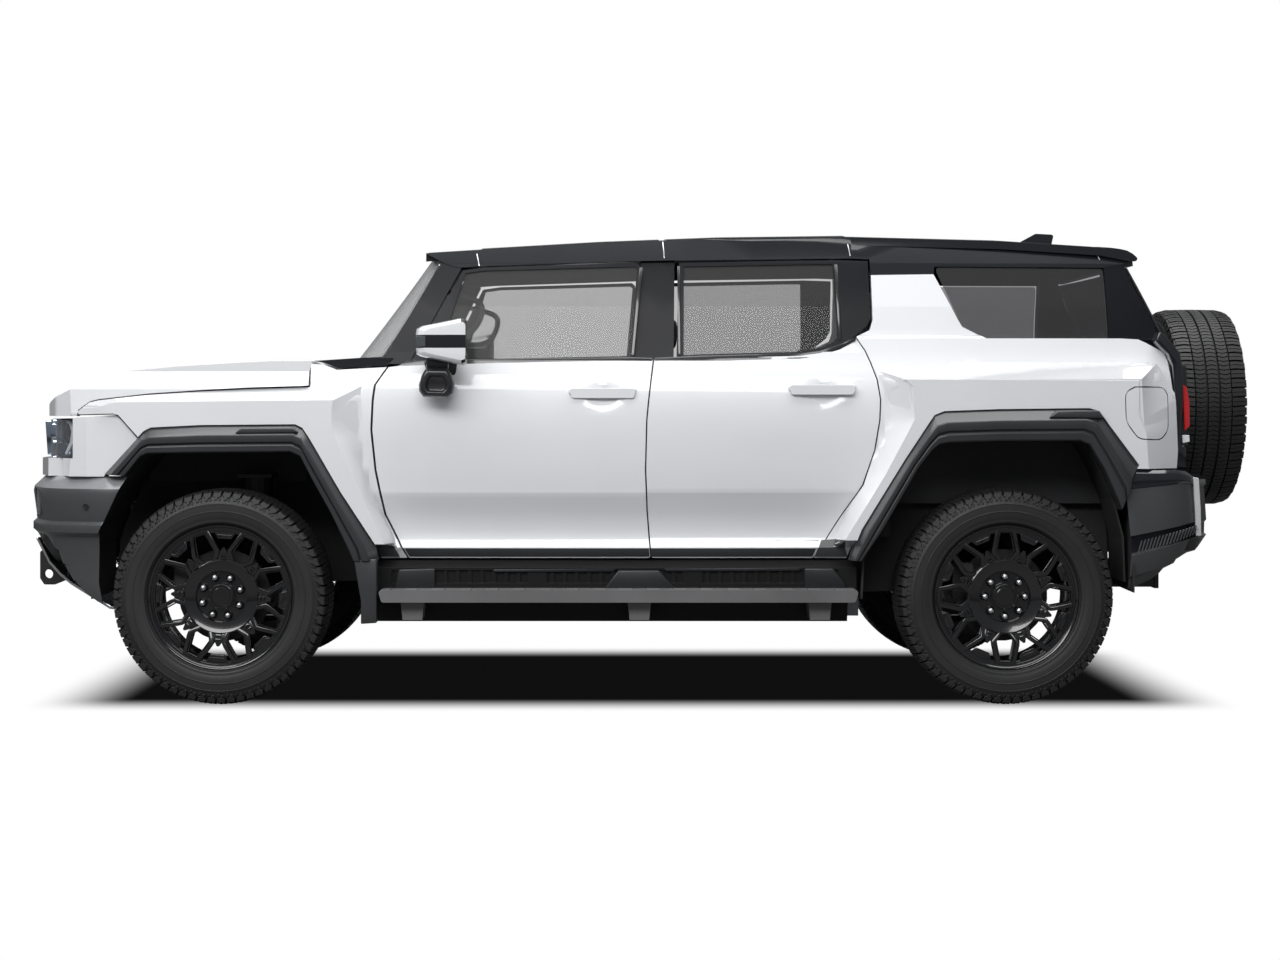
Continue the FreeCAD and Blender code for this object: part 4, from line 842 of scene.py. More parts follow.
glazing = {
    "front": {
        "outer": [(985, 1393), (962, 1440), (777, 1794), (690, 1806), (47, 1826), (32, 1812), (72, 1414),
                  (616, 1404)],
        "inner": [(880, 1426), (872, 1442), (764, 1782), (690, 1792), (56, 1810), (44, 1800), (76, 1432),
                  (616, 1421)],
    },
    "rear": {
        "outer": [(-116, 1419), (-130, 1826), (-790, 1838), (-924, 1834), (-928, 1590), (-908, 1555),
                  (-856, 1513), (-793, 1472), (-710, 1445), (-627, 1433), (-213, 1422)],
        "inner": [(-146, 1435), (-150, 1810), (-700, 1820), (-776, 1820), (-784, 1600), (-785, 1545),
                  (-785, 1506), (-758, 1484), (-700, 1463), (-627, 1450), (-213, 1439)],
    },
    "channels": {
        "front": [[(36, 1806), (22, 1806), (58, 1430), (72, 1430)]],
        "rear": [[(-134, 1812), (-122, 1812), (-124, 1434), (-136, 1434)],
                 [(-782, 1820), (-796, 1820), (-806, 1500), (-792, 1496)]],
    },
    "cladding": {
        "front": [(990, 601), (1020, 652), (3, 664), (-4, 601)],
        "rear": [(-11, 601), (-5, 664), (-706, 671), (-678, 601)],
        "ahead": [(1030, 601), (1058, 654), (1124, 656), (1110, 601)],
        "behind": [(-686, 601), (-714, 671), (-800, 676), (-822, 601)],
    },
    "latches": [[(722, 1866), (718, 1866), (706, 1812), (710, 1812)],
                [(-61, 1918), (-65, 1918), (-71, 1846), (-67, 1846)],
                [(-839, 1928), (-843, 1928), (-855, 1856), (-851, 1856)],
                [(-1886, 1888), (-1890, 1888), (-1914, 1842), (-1910, 1842)]],
    "belt": {
        "front": [(1058, 1381), (616, 1392), (-16, 1402), (-16, 1424), (72, 1427), (616, 1420), (1000, 1412)],
        "rear": [(-24, 1402), (-213, 1409), (-627, 1420), (-710, 1432), (-793, 1459), (-858, 1496),
                 (-866, 1516), (-800, 1482), (-710, 1454), (-627, 1444), (-213, 1433), (-24, 1424)],
    },
}


def buildGlazing():
    for door in ("front", "rear"):
        body = onDoor(door)
        edges = glazing[door]
        frit = sidePatch(door + "Frit", edges["outer"], "upper", 0.0012, 0.0024, edges["inner"])
        bothSides(frit, door + "Frit", body, "frameBlack", "trim_black")
        bars = [sidePatch(door + "Channel", bar, "upper", 0.0048, 0.0056, None, 0.0022)
                for bar in glazing["channels"][door]]
        bothSides(joined(door + "Channel", bars), door + "Channel", body, "channelBlack", "trim_black")
        belt = sidePatch(door + "Belt", glazing["belt"][door], "belt", 0.004, 0.012, None, 0.003)
        bothSides(belt, door + "Belt", body, "channelBlack", "trim_black")
        strip = sidePatch(door + "DoorCladding", glazing["cladding"][door], "lower", 0.004, 0.006,
                          None, 0.002)
        bothSides(strip, door + "DoorCladding", body, "cladding", "cladding")
    latches = [sidePatch("roofLatch", bar, "upper", 0.0022, 0.004, None, 0.001) for bar in glazing["latches"]]
    bothSides(joined("roofLatch", latches), "roofLatch", onRoot, "alloy", "alloy")


# Arch flares: a sloping upper band, a flat face and a rolled lower lip, swept along each arch.

flares = {
    "front": [((2226, 946), (2136, 939)), ((2065, 1122), (2075, 1017)), ((2036, 1137), (2047, 1029)),
              ((1832, 1147), (1831, 1033)), ((1445, 1150), (1464, 1036)), ((1416, 1135), (1423, 1017)),
              ((1384, 1086), (1380, 932)), ((1261, 874), (1300, 788)), ((1119, 658), (1230, 640)),
              ((1107, 594), (1211, 594))],
    "rear": [((-818, 594), (-866, 594)), ((-867, 719), (-952, 718)), ((-1043, 1004), (-1100, 975)),
             ((-1124, 1127), (-1152, 1040)), ((-1165, 1188), (-1184, 1066)), ((-1206, 1204), (-1225, 1074)),
             ((-1430, 1212), (-1428, 1080)), ((-1797, 1216), (-1754, 1082)), ((-1838, 1204), (-1795, 1066)),
             ((-1879, 1147), (-1856, 964)), ((-2001, 984), (-1909, 842)), ((-1981, 947), (-1925, 800))],
    "profile": [(0.00, 0.990), (0.00, 1.060), (0.03, 1.065), (0.31, 1.092), (0.34, 1.097), (0.38, 1.100),
                (0.60, 1.100), (0.63, 1.097), (0.65, 1.088), (0.67, 1.087), (0.70, 1.094), (0.76, 1.098),
                (0.93, 1.096), (0.98, 1.090), (1.00, 1.080), (1.00, 0.990)],
    "pods": [[(1690, 1112), (1660, 1138), (1452, 1140), (1428, 1116)],
             [(-1628, 1178), (-1660, 1206), (-1826, 1207), (-1856, 1174)]],
    "flap": [(1112, 600), (1205, 600), (1176, 430), (1176, 336), (1112, 340)],
}


def sweptStrip(name, stations, profile):
    # One ring of points a station, joined along the run and closed at both ends.
    rings = []
    for outer, arch in stations:
        rings.append([((outer[0] + (arch[0] - outer[0]) * share) / 1000.0, across,
                       (outer[1] + (arch[1] - outer[1]) * share) / 1000.0) for share, across in profile])
    return ringsPiece(name, rings)


def buildFlares():
    pieces = [sweptStrip(axle + "Flare", flares[axle], flares["profile"]) for axle in ("front", "rear")]
    for pod in flares["pods"]:
        pieces.append(plate("flarePod", metres(pod), "XZ", 1.04, 0.0585, 0.0, 0.006, 3))
    pieces.append(plate("mudFlap", metres(flares["flap"]), "XZ", 0.992, 0.096, 0.0, 0.004, 2))
    flare = smoothed(eased(joined("archFlares", pieces), 0.003, 2, 28), 35)
    whole = joined("archFlares", [flare, mirroredTwin(flare, "archFlaresTwin")])
    dress(whole, "root", "flareBlack", "cladding")
    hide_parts("arch_flares")


# Dark inner walls that close the wheel spaces behind the springs and arms.

wheelSpaces = {
    "front": ([(2286, 430), (2282, 640), (2255, 724), (2175, 890), (2136, 939), (2075, 1012), (2040, 1026),
               (1470, 1030), (1430, 1012), (1342, 862), (1260, 719), (1216, 594), (1190, 470)], 0.490),
    "rear": ([(-880, 430), (-890, 640), (-1000, 846), (-1100, 862), (-1800, 862), (-1935, 842), (-1960, 679),
              (-1968, 470)], 0.650),
}


def buildWheelSpaces():
    for axle, (points, inner) in wheelSpaces.items():
        wall = plate(axle + "SpaceWall", metres(points), "XZ", inner, 0.006, 0.0, 0.002)
        bothSides(wall, axle + "SpaceWall", onRoot, "linerBlack", "trim_black")


# Mirrors: a capped shell with a dark lamp band, on a dark arm that ends in a camera pod.

mirrors = {
    "stations": [(0.990, 0.55, 0.012), (1.004, 0.82, 0.004), (1.030, 0.95, 0.0), (1.080, 1.0, 0.0),
                 (1.140, 0.985, 0.0), (1.172, 0.93, 0.006), (1.184, 0.80, 0.016)],
    "loop": [(764, 1583), (860, 1563), (925, 1550), (946, 1537), (949, 1514), (949, 1458), (947, 1434),
             (930, 1425), (850, 1408), (762, 1389), (744, 1396), (741, 1420), (741, 1467), (741, 1513),
             (741, 1568), (748, 1580)],
    "centre": (836, 1488),
    "opening": [(1012, 1430), (1164, 1448), (1164, 1536), (1012, 1562)],
    "glass": [(1016, 1434), (1160, 1453), (1160, 1534), (1016, 1558)],
    "neck": [(820, 1412), (822, 1366), (908, 1366), (916, 1416)],
    "foot": [(800, 1330), (905, 1330), (925, 1392), (928, 1412), (790, 1408)],
    "lamp": [(905, 1508), (905, 1464), (942, 1464), (944, 1508)],
    "darkBand": (1.459, 1.512),
    "darkBehind": 0.766,
    "pod": {
        "stations": [(1.026, 0.78), (1.040, 1.0), (1.092, 1.0), (1.108, 0.86), (1.109, 0.60), (1.094, 0.50)],
        "loop": [(912, 1376), (927, 1352), (940, 1312), (938, 1284), (922, 1262), (822, 1258), (800, 1276),
                 (793, 1312), (806, 1350), (820, 1376)],
        "centre": (868, 1312),
    },
}


def ringedBody(name, form):
    # A closed form from one side-view loop, drawn in towards its centre station by station.
    middleX, middleZ = form["centre"]
    rings = []
    for across, scale, *shift in form["stations"]:
        back = shift[0] if shift else 0.0
        rings.append([(middleX / 1000 + (x - middleX) / 1000 * scale - back, across,
                       middleZ / 1000 + (z - middleZ) / 1000 * scale) for x, z in form["loop"]])
    return ringsPiece(name, rings, turned=True)


def buildMirrors():
    shell = ringedBody("mirrorShell", mirrors)
    carve(shell, plate("mirrorOpening", metres(mirrors["opening"]), "YZ", 0.70, 0.062, 0.0, 0.012, 3))
    eased(shell, 0.004, 3, 24)
    low, high = mirrors["darkBand"]
    cutAlong(shell, [low, high], (0, 0, 1))
    smoothed(shell, 40)
    twin = mirroredTwin(shell, "mirrorShellRight")
    shell.name = "mirrorShellLeft"
    for part, side in ((shell, "left"), (twin, "right")):
        dress(part, "front_door_" + side, "paint", "body_paint")
        part.data.materials.append(materials["roofBlack"])
        for face in part.data.polygons:
            if low < face.center.z < high or face.center.x < mirrors["darkBehind"]:
                face.material_index = 1
        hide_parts("mirror_" + side)
    pod = eased(ringedBody("cameraPod", mirrors["pod"]), 0.004, 2, 28)
    neck = plate("mirrorNeck", metres(mirrors["neck"]), "XZ", 0.962, 0.100, 0.0, 0.008, 3)
    foot = plate("mirrorFoot", metres(mirrors["foot"]), "XZ", 0.952, 0.020, 0.0, 0.006, 3)
    arm = smoothed(joined("mirrorArm", [pod, neck, foot]), 35)
    bothSides(arm, "mirrorArm", onDoor("front"), "channelBlack", "trim_black")
    lamp = plate("mirrorLamp", metres(mirrors["lamp"]), "XZ", 1.100, 0.086, 0.0, 0.003, 2)
    face = plate("mirrorGlass", metres(mirrors["glass"]), "YZ", 0.7575, 0.004, 0.0, 0.001)
    bothSides(face, "mirrorGlass", onDoor("front"), "mirrorSilver", "alloy")
    bothSides(lamp, "mirrorLamp", onDoor("front"), "lampDark", "lamp_clear")


# Grab handles on the front pillars, seen through the glass.

def tubeAlong(name, points, radius, sides):
    line = bpy.data.curves.new(name, "CURVE")
    line.dimensions = "3D"
    line.bevel_depth = radius
    line.bevel_resolution = sides
    line.resolution_u = 6
    line.use_fill_caps = True
    run = line.splines.new("NURBS")
    run.points.add(len(points) - 1)
    for point, place in zip(run.points, points):
        point.co = (*place, 1.0)
    run.use_endpoint_u = True
    run.order_u = 3
    curve = bpy.data.objects.new(name, line)
    bpy.context.scene.collection.objects.link(curve)
    pickOnly(curve)
    bpy.ops.object.convert(target="MESH")
    piece = bpy.context.view_layer.objects.active
    piece.name = name
    return smoothed(piece, 60)


grabPoints = [(0.830, 0.790, 1.700), (0.790, 0.745, 1.690), (0.712, 0.728, 1.668), (0.696, 0.726, 1.625),
              (0.730, 0.740, 1.545), (0.790, 0.778, 1.520), (0.850, 0.812, 1.525)]


def buildGrabHandles():
    handle = tubeAlong("grabHandle", grabPoints, 0.013, 4)
    bothSides(handle, "grabHandle", onRoot, "interior", "interior_dark")


# Rocker blocks beside the step.

rockers = {
    "blocks": [[(186, 470), (126, 548), (-42, 548), (-112, 470)],
               [(1052, 470), (1030, 552), (880, 556), (880, 470)],
               [(-640, 470), (-640, 556), (-760, 556), (-806, 500), (-812, 470)]],
    "bars": [[(640, 552), (130, 556), (150, 542), (640, 540)],
             [(-60, 556), (-620, 558), (-620, 545), (-70, 543)]],
}


def buildRockers():
    pieces = [plate("rockerBlock", metres(block), "XZ", 0.965, 0.030, 0.0, 0.006, 3)
              for block in rockers["blocks"]]
    pieces += [plate("rockerBar", metres(bar), "XZ", 0.975, 0.016, 0.0, 0.004, 2) for bar in rockers["bars"]]
    bothSides(smoothed(joined("rockerBlocks", pieces), 35), "rockerBlocks", onRoot, "trimBlack", "cladding")


# Outer panels: smooth sheets over the doors, fenders and rear quarters, soft where the metal rolls.

panelForm = {
    "lip": [(0.9395, 0.590), (0.9660, 0.640)],
    "valley": [(0.9660, 0.640), (0.9500, 0.692), (0.9550, 0.760), (0.9765, 0.820), (0.9970, 0.868)],
    "wall": [(0.9970, 0.868), (1.0040, 0.960), (1.0065, 1.100), (1.0045, 1.180), (0.9990, 1.245),
             (0.9915, 1.295), (0.9790, 1.345), (0.9610, 1.388), (0.9430, 1.430), (0.9180, 1.520)],
    "lipTop": 0.640, "valleyTop": 0.868, "base": 0.955, "top": 1.068, "lift": 0.0015,
    "swellings": [
        ([(1156, 1322), (1152, 1007), (1130, 849), (1054, 686), (1040, 640), (2420, 640), (2420, 1262),
          (2240, 1300)],
         [(1291, 1249), (1297, 1215), (1297, 1150), (1287, 1104), (1097, 692), (1085, 660), (2380, 660),
          (2330, 1200), (2180, 1240)]),
        ([(-945, 1372), (-958, 1240), (-950, 1150), (-760, 640), (-2190, 640), (-2190, 1250), (-2100, 1400)],
         [(-1047, 1333), (-1078, 1303), (-1083, 1167), (-966, 946), (-800, 676), (-2060, 676), (-2030, 1110),
          (-2000, 1185), (-2000, 1328)]),
    ],
    "nose": [(0.900, 1.120), (2.125, 1.100), (2.355, 1.020), (2.450, 0.935), (2.515, 0.770), (2.545, 0.600)],
    "tail": [(-0.500, 1.120), (-2.030, 1.090), (-2.200, 1.000), (-2.260, 0.860), (-2.290, 0.640)],
}
panels = {
    "frontCut": [(1078, 1385), (1128, 1311), (1136, 1249), (1141, 1126), (1124, 961), (1087, 775),
                 (1025, 652), (1017, 636)],
    "centreCut": [(-20, 1415), (-9, 1332), (1, 1249), (9, 1167), (14, 961), (7, 796), (-3, 668), (-6, 636)],
    "rearCut": [(-863, 1502), (-894, 1455), (-915, 1406), (-940, 1332), (-952, 1249), (-948, 1167),
                (-927, 1043), (-878, 899), (-787, 763), (-717, 652), (-706, 636)],
    "frontBelt": [(616, 1403), (1034, 1390)],
    "rearBelt": [(-793, 1469), (-710, 1444), (-627, 1432), (-213, 1421)],
    "hoodEdge": [(2344, 1202), (2294, 1239), (2261, 1247), (2055, 1270), (1849, 1284), (1643, 1295),
                 (1437, 1301), (1396, 1303), (1396, 1398), (1346, 1396), (1290, 1374)],
    "fasciaEdge": [(2088, 1098), (2168, 1188), (2190, 1194), (2338, 1190)],
    "quarterTop": [(-905, 1505), (-1407, 1506), (-1969, 1506), (-2044, 1502), (-2073, 1489), (-2147, 1448),
                   (-2160, 1415), (-2176, 1249), (-2186, 1043), (-2180, 968), (-1992, 968)],
    "chargeFlap": [(-1946, 1280), (-1985, 1300), (-2120, 1300), (-2136, 1270), (-2136, 1126), (-2102, 1088),
                   (-1999, 1092), (-1950, 1160)],
    "handles": [(57, 1270), (-847, 1284)],
    "grip": {"length": 0.270, "proud": 0.0125, "scoop": 0.017},
}


def splineAt(points, place):
    # Smooth value through (value, place) points, by cubic pieces with shared slopes.
    places = [low for value, low in points]
    values = [value for value, low in points]
    place = min(max(place, places[0]), places[-1])
    count = len(points)
    slopes = []
    for here in range(count):
        before, after = max(here - 1, 0), min(here + 1, count - 1)
        slopes.append((values[after] - values[before]) / (places[after] - places[before]))
    for here in range(count - 1):
        if place <= places[here + 1]:
            span = places[here + 1] - places[here]
            share = (place - places[here]) / span
            rise = values[here + 1] - values[here]
            bend = share * share * (3 - 2 * share)
            start = span * slopes[here] * share * (1 - share) ** 2
            return values[here] + rise * bend + start - span * slopes[here + 1] * share * share * (1 - share)


def insideBy(x, z, loop):
    # Distance to the loop's nearest edge, positive inside it.
    inside, nearest = False, 9.0
    for (ax, az), (bx, bz) in zip(loop, loop[1:] + loop[:1]):
        if (az > z) != (bz > z) and x < (bx - ax) * (z - az) / (bz - az) + ax:
            inside = not inside
        along, up = bx - ax, bz - az
        share = min(max(((x - ax) * along + (z - az) * up) / (along * along + up * up), 0.0), 1.0)
        nearest = min(nearest, math.hypot(x - ax - along * share, z - az - up * share))
    return nearest if inside else -nearest


def planLimit(points, x):
    for (near, wide), (far, narrow) in zip(points, points[1:]):
        if min(near, far) <= x <= max(near, far):
            return wide + (narrow - wide) * (x - near) / (far - near)
    return points[-1][1] if abs(x) > abs(points[-1][0]) else points[0][1]


def panelY(x, z):
    if z < panelForm["lipTop"]:
        across = splineAt(panelForm["lip"], z)
    elif z < panelForm["valleyTop"]:
        across = splineAt(panelForm["valley"], z)
    else:
        across = splineAt(panelForm["wall"], z)
    across -= (x - bodyMiddle) ** 2 / (2 * bodyPlanRadius)
    for foot, crest in panelForm["swellings"]:
        within = insideBy(x, z, metres(foot))
        if within > 0:
            short = max(-insideBy(x, z, metres(crest)), 0.0)
            rise = panelForm["base"] + (panelForm["top"] - panelForm["base"]) * within / (within + short)
            across = max(across, rise)
    if x > 0.9:
        across = min(across, planLimit(panelForm["nose"], x))
    if x < -0.5:
        across = min(across, planLimit(panelForm["tail"], x))
    return across + panelForm["lift"]


def scoopedY(x, z):
    # The panel with a hollow under each door handle.
    depth = 0.0
    for rear, height in panels["handles"]:
        along = (x - rear / 1000.0 - 0.130) / 0.088
        up = (z - height / 1000.0 + 0.010) / 0.036
        away = math.hypot(along, up)
        if away < 1:
            depth = panels["grip"]["scoop"] * min(1.0, (1 - away) * 2.2)
    return panelY(x, z) - depth


def cutCreases(piece, loop, rear, front):
    # Lines through a swelling's corners, so that its edges come out sharp on the sheet.
    for (ax, az), (bx, bz) in zip(loop, loop[1:] + loop[:1]):
        if max(ax, bx) < rear or min(ax, bx) > front:
            continue
        length = math.hypot(bx - ax, bz - az)
        cutAt(piece, (ax, 0, az), ((az - bz) / length, 0, (bx - ax) / length))


def skinPatch(name, outline, heightAt, spacing=0.026, thickness=0.0022):
    # A sheet over an outline in the side view, cut into small faces and set out to heightAt.
    mesh = bmesh.new()
    mesh.faces.new([mesh.verts.new((x, 0.0, z)) for x, z in metres(outline)])
    piece = meshPiece(name, mesh)
    xs, zs = zip(*metres(outline))
    rear, front, low, high = min(xs), max(xs), min(zs), max(zs)
    breaks = [panelForm["valleyTop"], panelForm["lipTop"]] if low < panelForm["valleyTop"] < high else []
    heights = breaks + evenCuts(low, high, spacing)
    cutAlong(piece, [z for z in heights if low < z < high], (0, 0, 1))
    cutAlong(piece, evenCuts(rear, front, spacing), (1, 0, 0))
    for foot, crest in panelForm["swellings"]:
        cutCreases(piece, metres(foot), rear, front)
        cutCreases(piece, metres(crest), rear, front)
    remap(piece, lambda point: Vector((point.x, heightAt(point.x, point.z), point.z)))
    if piece.data.polygons[0].normal.y < 0:
        piece.data.flip_normals()
    if thickness:
        thicken(piece, thickness)
    return smoothed(piece, 24)


def shifted(points, along):
    return [(x + along, z) for x, z in points]


def ribbon(points, half):
    # A narrow strip to both sides of a line, as one outline.
    sides = ([], [])
    for here, (x, z) in enumerate(points):
        (ax, az), (bx, bz) = points[max(here - 1, 0)], points[min(here + 1, len(points) - 1)]
        length = math.hypot(bx - ax, bz - az)
        sides[0].append((x - (bz - az) / length * half, z + (bx - ax) / length * half))
        sides[1].append((x + (bz - az) / length * half, z - (bx - ax) / length * half))
    return sides[0] + sides[1][::-1]


def buildGrip(name, rear, height):
    # A flush pull with soft ends over the hollow.
    low, high = height / 1000.0 - 0.014, height / 1000.0 + 0.028
    left, right = rear / 1000.0 - 0.006, rear / 1000.0 + panels["grip"]["length"] + 0.006
    outline = [(left + 0.008, low), (right - 0.022, low), (right, low + 0.024), (right - 0.004, high),
               (left, high)]
    face = panelY((left + right) / 2, (low + high) / 2)
    grip = plate(name, outline, "XZ", face - 0.028, 0.028 + panels["grip"]["proud"], 0.0, 0.007, 4)
    return smoothed(grip, 40)


def buildPanels():
    doors = {
        "front": (shifted(panels["frontCut"], -3) + shifted(panels["centreCut"][::-1], 3)
                  + panels["frontBelt"]),
        "rear": shifted(panels["centreCut"], -3) + panels["rearCut"][::-1] + panels["rearBelt"],
    }
    for (door, outline), (rear, height) in zip(doors.items(), panels["handles"]):
        panel = skinPatch(door + "DoorPanel", outline, scoopedY)
        bothSides(panel, door + "DoorPanel", onDoor(door), "paint", "body_paint")
        bothSides(buildGrip(door + "Grip", rear, height), door + "Grip", onDoor(door), "paint", "body_paint")
    flareEdge = [points[0] for points in flares["front"]][:0:-1]
    fender = panels["hoodEdge"] + shifted(panels["frontCut"], 6) + flareEdge + panels["fasciaEdge"]
    bothSides(skinPatch("fenderPanel", fender, panelY), "fenderPanel", onRoot, "paint", "body_paint")
    flareEdge = [points[0] for points in flares["rear"]][-2::-1]
    quarter = shifted(panels["rearCut"][::-1], -6) + panels["quarterTop"] + flareEdge
    left = skinPatch("quarterPanelLeft", quarter, panelY)
    right = mirroredTwin(left, "quarterPanelRight")
    flap = metres(panels["chargeFlap"])
    middle = (sum(x for x, z in flap) / len(flap), sum(z for x, z in flap) / len(flap))
    wider = []
    for x, z in flap:
        away = math.hypot(x - middle[0], z - middle[1])
        wider.append((x + (x - middle[0]) / away * 0.005, z + (z - middle[1]) / away * 0.005))
    carve(left, plate("flapOpening", wider, "XZ", 0.9, 0.4, 0.0, 0.04, 5))
    for panel in (left, right):
        dress(smoothed(panel, 24), "root", "paint", "body_paint")
    lid = plate("flapBlank", flap, "XZ", 0.9, 0.4, 0.0, 0.04, 5)
    cover = skinPatch("chargeFlapPanel", [(-1930, 1316), (-2150, 1316), (-2150, 1074), (-1930, 1074)], panelY)
    carve(cover, lid, "INTERSECT")
    dress(smoothed(cover, 24), "charge_flap", "paint", "body_paint")
    for name in ("ahead", "behind"):
        strip = skinPatch(name + "Cladding", glazing["cladding"][name],
                          lambda x, z: panelY(x, z) + 0.0035, 0.02)
        bothSides(strip, name + "Cladding", onRoot, "cladding", "cladding")
    seals = [panels["frontCut"], panels["centreCut"], shifted(panels["rearCut"], -3),
             shifted(panels["fasciaEdge"], 4), [(x, z + 3) for x, z in panels["hoodEdge"][:8]]]
    strips = [skinPatch("seal", ribbon(line, 2.6), lambda x, z: panelY(x, z) - 0.010, 0.05, 0.0)
              for line in seals]
    bothSides(joined("gapSeals", strips), "gapSeals", onRoot, "frameBlack", "trim_black")


# Front bumper: vertical sections swept round the nose, with lower corners that are cut away.

frontBumper = {
    "stations": [(2128, 1.100, 402), (2196, 1.100, 402), (2236, 1.092, 406), (2275, 1.082, 424),
                 (2330, 1.063, 458), (2385, 1.040, 508), (2436, 1.015, 574), (2478, 0.985, 628),
                 (2512, 0.940, 668), (2545, 0.870, 690), (2575, 0.800, 690), (2600, 0.725, 660),
                 (2616, 0.640, 560), (2624, 0.520, 520), (2626, 0.300, 505), (2626, 0.000, 500)],
    "reach": (2430, 2580),
    "section": [(936, 130), (936, 62), (930, 48), (888, 4), (868, 0), (762, 14), (752, 16), (738, 0),
                (708, 0), (694, 16), (640, 36), (571, 84), (520, 130), (496, 158)],
    "sideSection": [(936, 110), (936, 56), (930, 44), (886, 4), (868, 0), (762, 8), (752, 12), (738, -4),
                    (706, -4), (690, 22), (640, 34), (571, 40), (500, 44), (390, 48)],
    "thickness": 0.010,
    "wheelCut": [(2000, 940), (2133, 940), (2246, 708), (2254, 500), (2236, 400), (2236, 300), (2000, 300)],
    "intake": [(-0.560, 0.640), (0.560, 0.640), (0.500, 0.735), (-0.500, 0.735)],
    "opening": [(0.700, 0.764), (0.890, 0.774), (0.890, 0.876), (0.700, 0.890)],
    "upperIntake": [(-0.600, 0.775), (0.600, 0.775), (0.560, 0.850), (-0.560, 0.850)],
    "lowerIntake": [(-0.420, 0.524), (0.420, 0.524), (0.470, 0.606), (-0.470, 0.606)],
    # The height above which upward faces carry the painted highlight.
    "paintedHighlightAbove": 0.886,
    "bars": {"count": 7, "first": 0.640, "step": 0.0315, "height": 0.016, "half": 0.61},
    "posts": {"places": (-0.50, -0.25, 0.0, 0.25, 0.50), "half": 0.006, "low": 0.630, "high": 0.862},
    "grilleBack": [(-0.64, 0.500), (0.64, 0.500), (0.64, 0.880), (-0.64, 0.880)],
    "sensorRing": [(0.0, 0.011), (0.003, 0.011), (0.003, 0.0085), (0.002, 0.007), (0.002, 0.001),
                   (0.0, 0.001)],
    "sensorPlace": (2.300, 1.0775, 0.815),
}


def sweptWall(name, form, side, middle):
    # Sections of (height, inset) set up at each plan station, mirrored across the middle. They change from
    # the side section to the middle one over the reach.
    stations, start, end = form["stations"], form["reach"][0], form["reach"][1]
    count = len(stations)
    columns = []
    for here, (x, y, low) in enumerate(stations):
        (ax, ay, skip), (bx, by, skip) = stations[max(here - 1, 0)], stations[min(here + 1, count - 1)]
        along = Vector((bx / 1000 - ax / 1000, by - ay))
        if here == count - 1:
            along = Vector((0, -1))
        inward = Vector((along.y, -along.x)).normalized()
        share = min(max((x - start) / (end - start), 0.0), 1.0)
        column = []
        size = len(form[side])
        for step, (near, far) in enumerate(zip(form[side], form[middle])):
            height = max(near[0] + (far[0] - near[0]) * share, low + (size - step) * 0.6)
            inset = near[1] + (far[1] - near[1]) * share
            column.append((x / 1000 + inward.x * inset / 1000, y + inward.y * inset / 1000, height / 1000))
        columns.append(column)
    whole = columns + [[(x, -y, z) for x, y, z in column] for column in columns[-2::-1]]
    piece = ringsPiece(name, whole, closed=False)
    if piece.data.polygons[len(piece.data.polygons) // 2 + 4].normal.x < 0:
        piece.data.flip_normals()
    return piece


def buildFrontBumper():
    wall = sweptWall("frontBumper", frontBumper, "sideSection", "section")
    thicken(wall, frontBumper["thickness"])
    for cut in ("intake", "upperIntake", "lowerIntake"):
        carve(wall, plate("cutter", frontBumper[cut], "YZ", 2.40, 0.30, 0.0, 0.012, 3))
    openings = [[(y * side, z) for y, z in frontBumper["opening"]] for side in (1, -1)]
    for outline in openings:
        carve(wall, plate("cutter", outline, "YZ", 2.44, 0.26, 0.0, 0.012, 3))
    for side in (1, -1):
        carve(wall, plate("cutter", metres(frontBumper["wheelCut"]), "XZ", side * 0.85, side * 0.40))
    smoothed(eased(wall, 0.0035, 2, 26), 32)
    dress(wall, "root", "cladding", "cladding")
    # Upward faces above the line take a lighter grey: a painted highlight where the overhead light falls on
    # the bumper's top.
    wall.data.materials.append(materials["paintedHighlightGrey"])
    for face in wall.data.polygons:
        if face.center.z > frontBumper["paintedHighlightAbove"] and face.normal.z > 0.1:
            face.material_index = 1
    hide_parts("front_bumper")
    pieces = []
    for outline in openings:
        pieces.append(plate("lampBucket", outline, "YZ", 2.455, 0.075, 0.010, 0.002, 2))
        pieces.append(plate("lampBack", outline, "YZ", 2.450, 0.006, 0.0, 0.002, 2))
    bars = frontBumper["bars"]
    for index in range(bars["count"]):
        low = bars["first"] + index * bars["step"]
        pieces.append(plate("grilleBar", box(-bars["half"], bars["half"], low, low + bars["height"]), "YZ",
                            2.520, 0.018, 0.0, 0.003, 2))
    posts = frontBumper["posts"]
    for across in posts["places"]:
        outline = box(across - posts["half"], across + posts["half"], posts["low"], posts["high"])
        pieces.append(plate("grillePost", outline, "YZ", 2.508, 0.014))
    pieces.append(plate("grilleBack", frontBumper["grilleBack"], "YZ", 2.470, 0.006))
    dress(smoothed(joined("bumperGrille", pieces), 35), "root", "linerBlack", "trim_black")
    ring = spunPiece("parkSensor", frontBumper["sensorRing"], 24)
    sensor = copyAt(ring, "frontSensor", Matrix.Translation(frontBumper["sensorPlace"]))
    bpy.data.objects.remove(ring, do_unlink=True)
    bothSides(sensor, "frontSensor", onRoot, "channelBlack", "trim_black")


# Head lamps: a chrome frame with two projector boxes, a bright curved band and an amber marker.

headLamps = {
    "housing": [(2552, 1162), (2542, 1018), (2440, 1018), (2440, 1162)],
    "bars": [(1.160, 1.172), (1.066, 1.084), (1.012, 1.020)],
    "projectors": (0.695, 0.800),
    "projector": [(0.0, 1.090), (0.085, 1.090), (0.080, 1.156), (0.005, 1.156)],
    "band": [(2413, 1166), (2390, 1156), (2380, 1120), (2386, 1070), (2412, 1022), (2422, 1026), (2400, 1074),
             (2394, 1118), (2402, 1148), (2416, 1156)],
    "amber": [(2374, 1160), (2390, 1150), (2377, 1118), (2382, 1068), (2360, 1064), (2356, 1158)],
}


